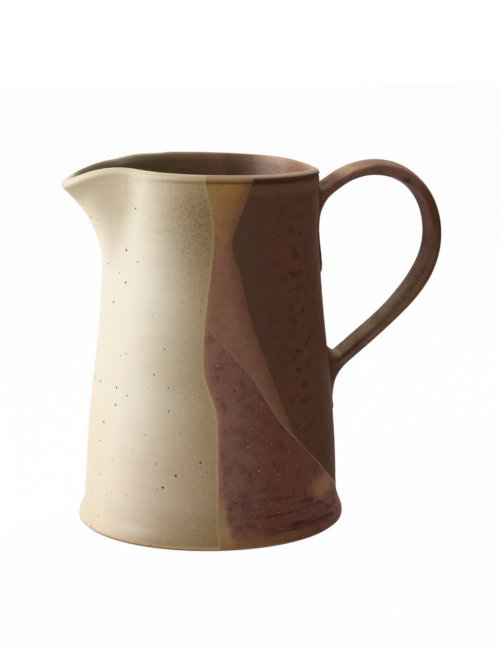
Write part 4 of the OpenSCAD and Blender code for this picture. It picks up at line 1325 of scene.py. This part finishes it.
upper_joint = luted(
    "upper_luting_clay", range(5, -1, -1), 15 * MM,
    lambda c: 12 * MM * c ** 0.8 if c > 0 else -50 * MM * (-c) ** 2,
    lambda c: 0.9, upper_tail, False)
settle(upper_joint, "brown", "upper_luting")

# %% Lower joint, with its broad fillet
def lower_tail(t, c):
    """The fillet runs out below in a short smear with a soft end."""
    stands = 0.7 * ease((t - 0.4) / 0.3) * (1 - ease((t - 0.92) / 0.08))
    return max(0, c) ** 2 * MM * (stands + 0.8 * bump(t, 0.9, 0.05))


lower_joint = luted(
    "lower_luting_clay", range(last - 5, last + 1), 16.5 * MM,
    lambda c: -26 * MM * c ** 0.8 if c > 0 else 18 * MM * (-c) ** 0.8,
    lambda c: 0.7 if c > 0 else 0.7 + 0.4 * c, lower_tail, True)
settle(lower_joint, "brown", "lower_luting")
coat_shape.free()

# %% [markdown]
# ## Studio
# The pot stands on a pale seamless floor with one big soft lamp at the left, as the photograph's shading
# shows: the cream side is bright, the middle rolls off and the inside is lit on the handle's side. A
# weaker lamp overhead and one high behind the handle light the strap's upper faces and leave its edge
# dark. The world fills the shadows and is seen as plain white.

# %% Floor
def seen_directly(tree):
    """1 for rays that show a surface to the eye, 0 for rays that only carry its light."""
    rays = add(tree, "ShaderNodeLightPath").outputs
    seen = add(tree, "ShaderNodeMath.MAXIMUM", [rays["Is Camera Ray"], rays["Is Glossy Ray"]])
    return add(tree, "ShaderNodeMath.MAXIMUM", [seen, rays["Is Transmission Ray"]])


floor_mesh = bpy.data.meshes.new("studio_floor")
reach = 4.0
floor_mesh.from_pydata([(-reach, -reach, 0), (reach, -reach, 0), (reach, reach, 0), (-reach, reach, 0)], [],
                       [(0, 1, 2, 3)])
floor = bpy.data.objects.new("studio_floor", floor_mesh)
floor.location.z = -0.1 * MM
bpy.context.collection.objects.link(floor)
paper = bpy.data.materials.new("white studio paper")
paper.use_nodes = True
tree = paper.node_tree
tree.nodes.clear()
share = add(tree, "ShaderNodeMath.MULTIPLY", [seen_directly(tree), 0.97])
lit = add(tree, "ShaderNodeBsdfDiffuse", {"Color": srgb("#f6f6f6")})
glow = add(tree, "ShaderNodeEmission", {"Color": srgb("#ffffff"), "Strength": 1.0})
mixed = add(tree, "ShaderNodeMixShader", [share, lit, glow])
add(tree, "ShaderNodeOutputMaterial", {"Surface": mixed})
floor_mesh.materials.append(paper)
print("floor of", 2 * reach, "m")

# %% World and lamps
world = bpy.data.worlds.new("studio")
bpy.context.scene.world = world
world.use_nodes = True
tree = world.node_tree
tree.nodes.clear()
strength = add(tree, "ShaderNodeMapRange", [seen_directly(tree), 0.0, 1.0, 0.33, 1.0])
glow = add(tree, "ShaderNodeBackground", {"Color": srgb("#ffffff"), "Strength": strength})
add(tree, "ShaderNodeOutputWorld", {"Surface": glow})


def lamp(name, place, target, size, power):
    """A square soft lamp at a place, turned to its target."""
    light = bpy.data.lights.new(name, "AREA")
    light.shape, light.size, light.energy = "SQUARE", size, power
    piece = bpy.data.objects.new(name, light)
    piece.location = place
    piece.rotation_euler = (Vector(target) - Vector(place)).to_track_quat("-Z", "Y").to_euler()
    bpy.context.collection.objects.link(piece)


middle = (0, 0, 0.1)
lamp("key", (-1.05, -0.17, 0.52), middle, 0.6, 7.3)
lamp("overhead", (0.1, 0.0, 1.3), middle, 0.8, 3.0)
lamp("back", (0.45, 0.55, 1.0), (0.1, 0, 0.15), 0.6, 4.4)
bpy.context.scene.view_settings.view_transform = "Standard"
print("lamps and world set")
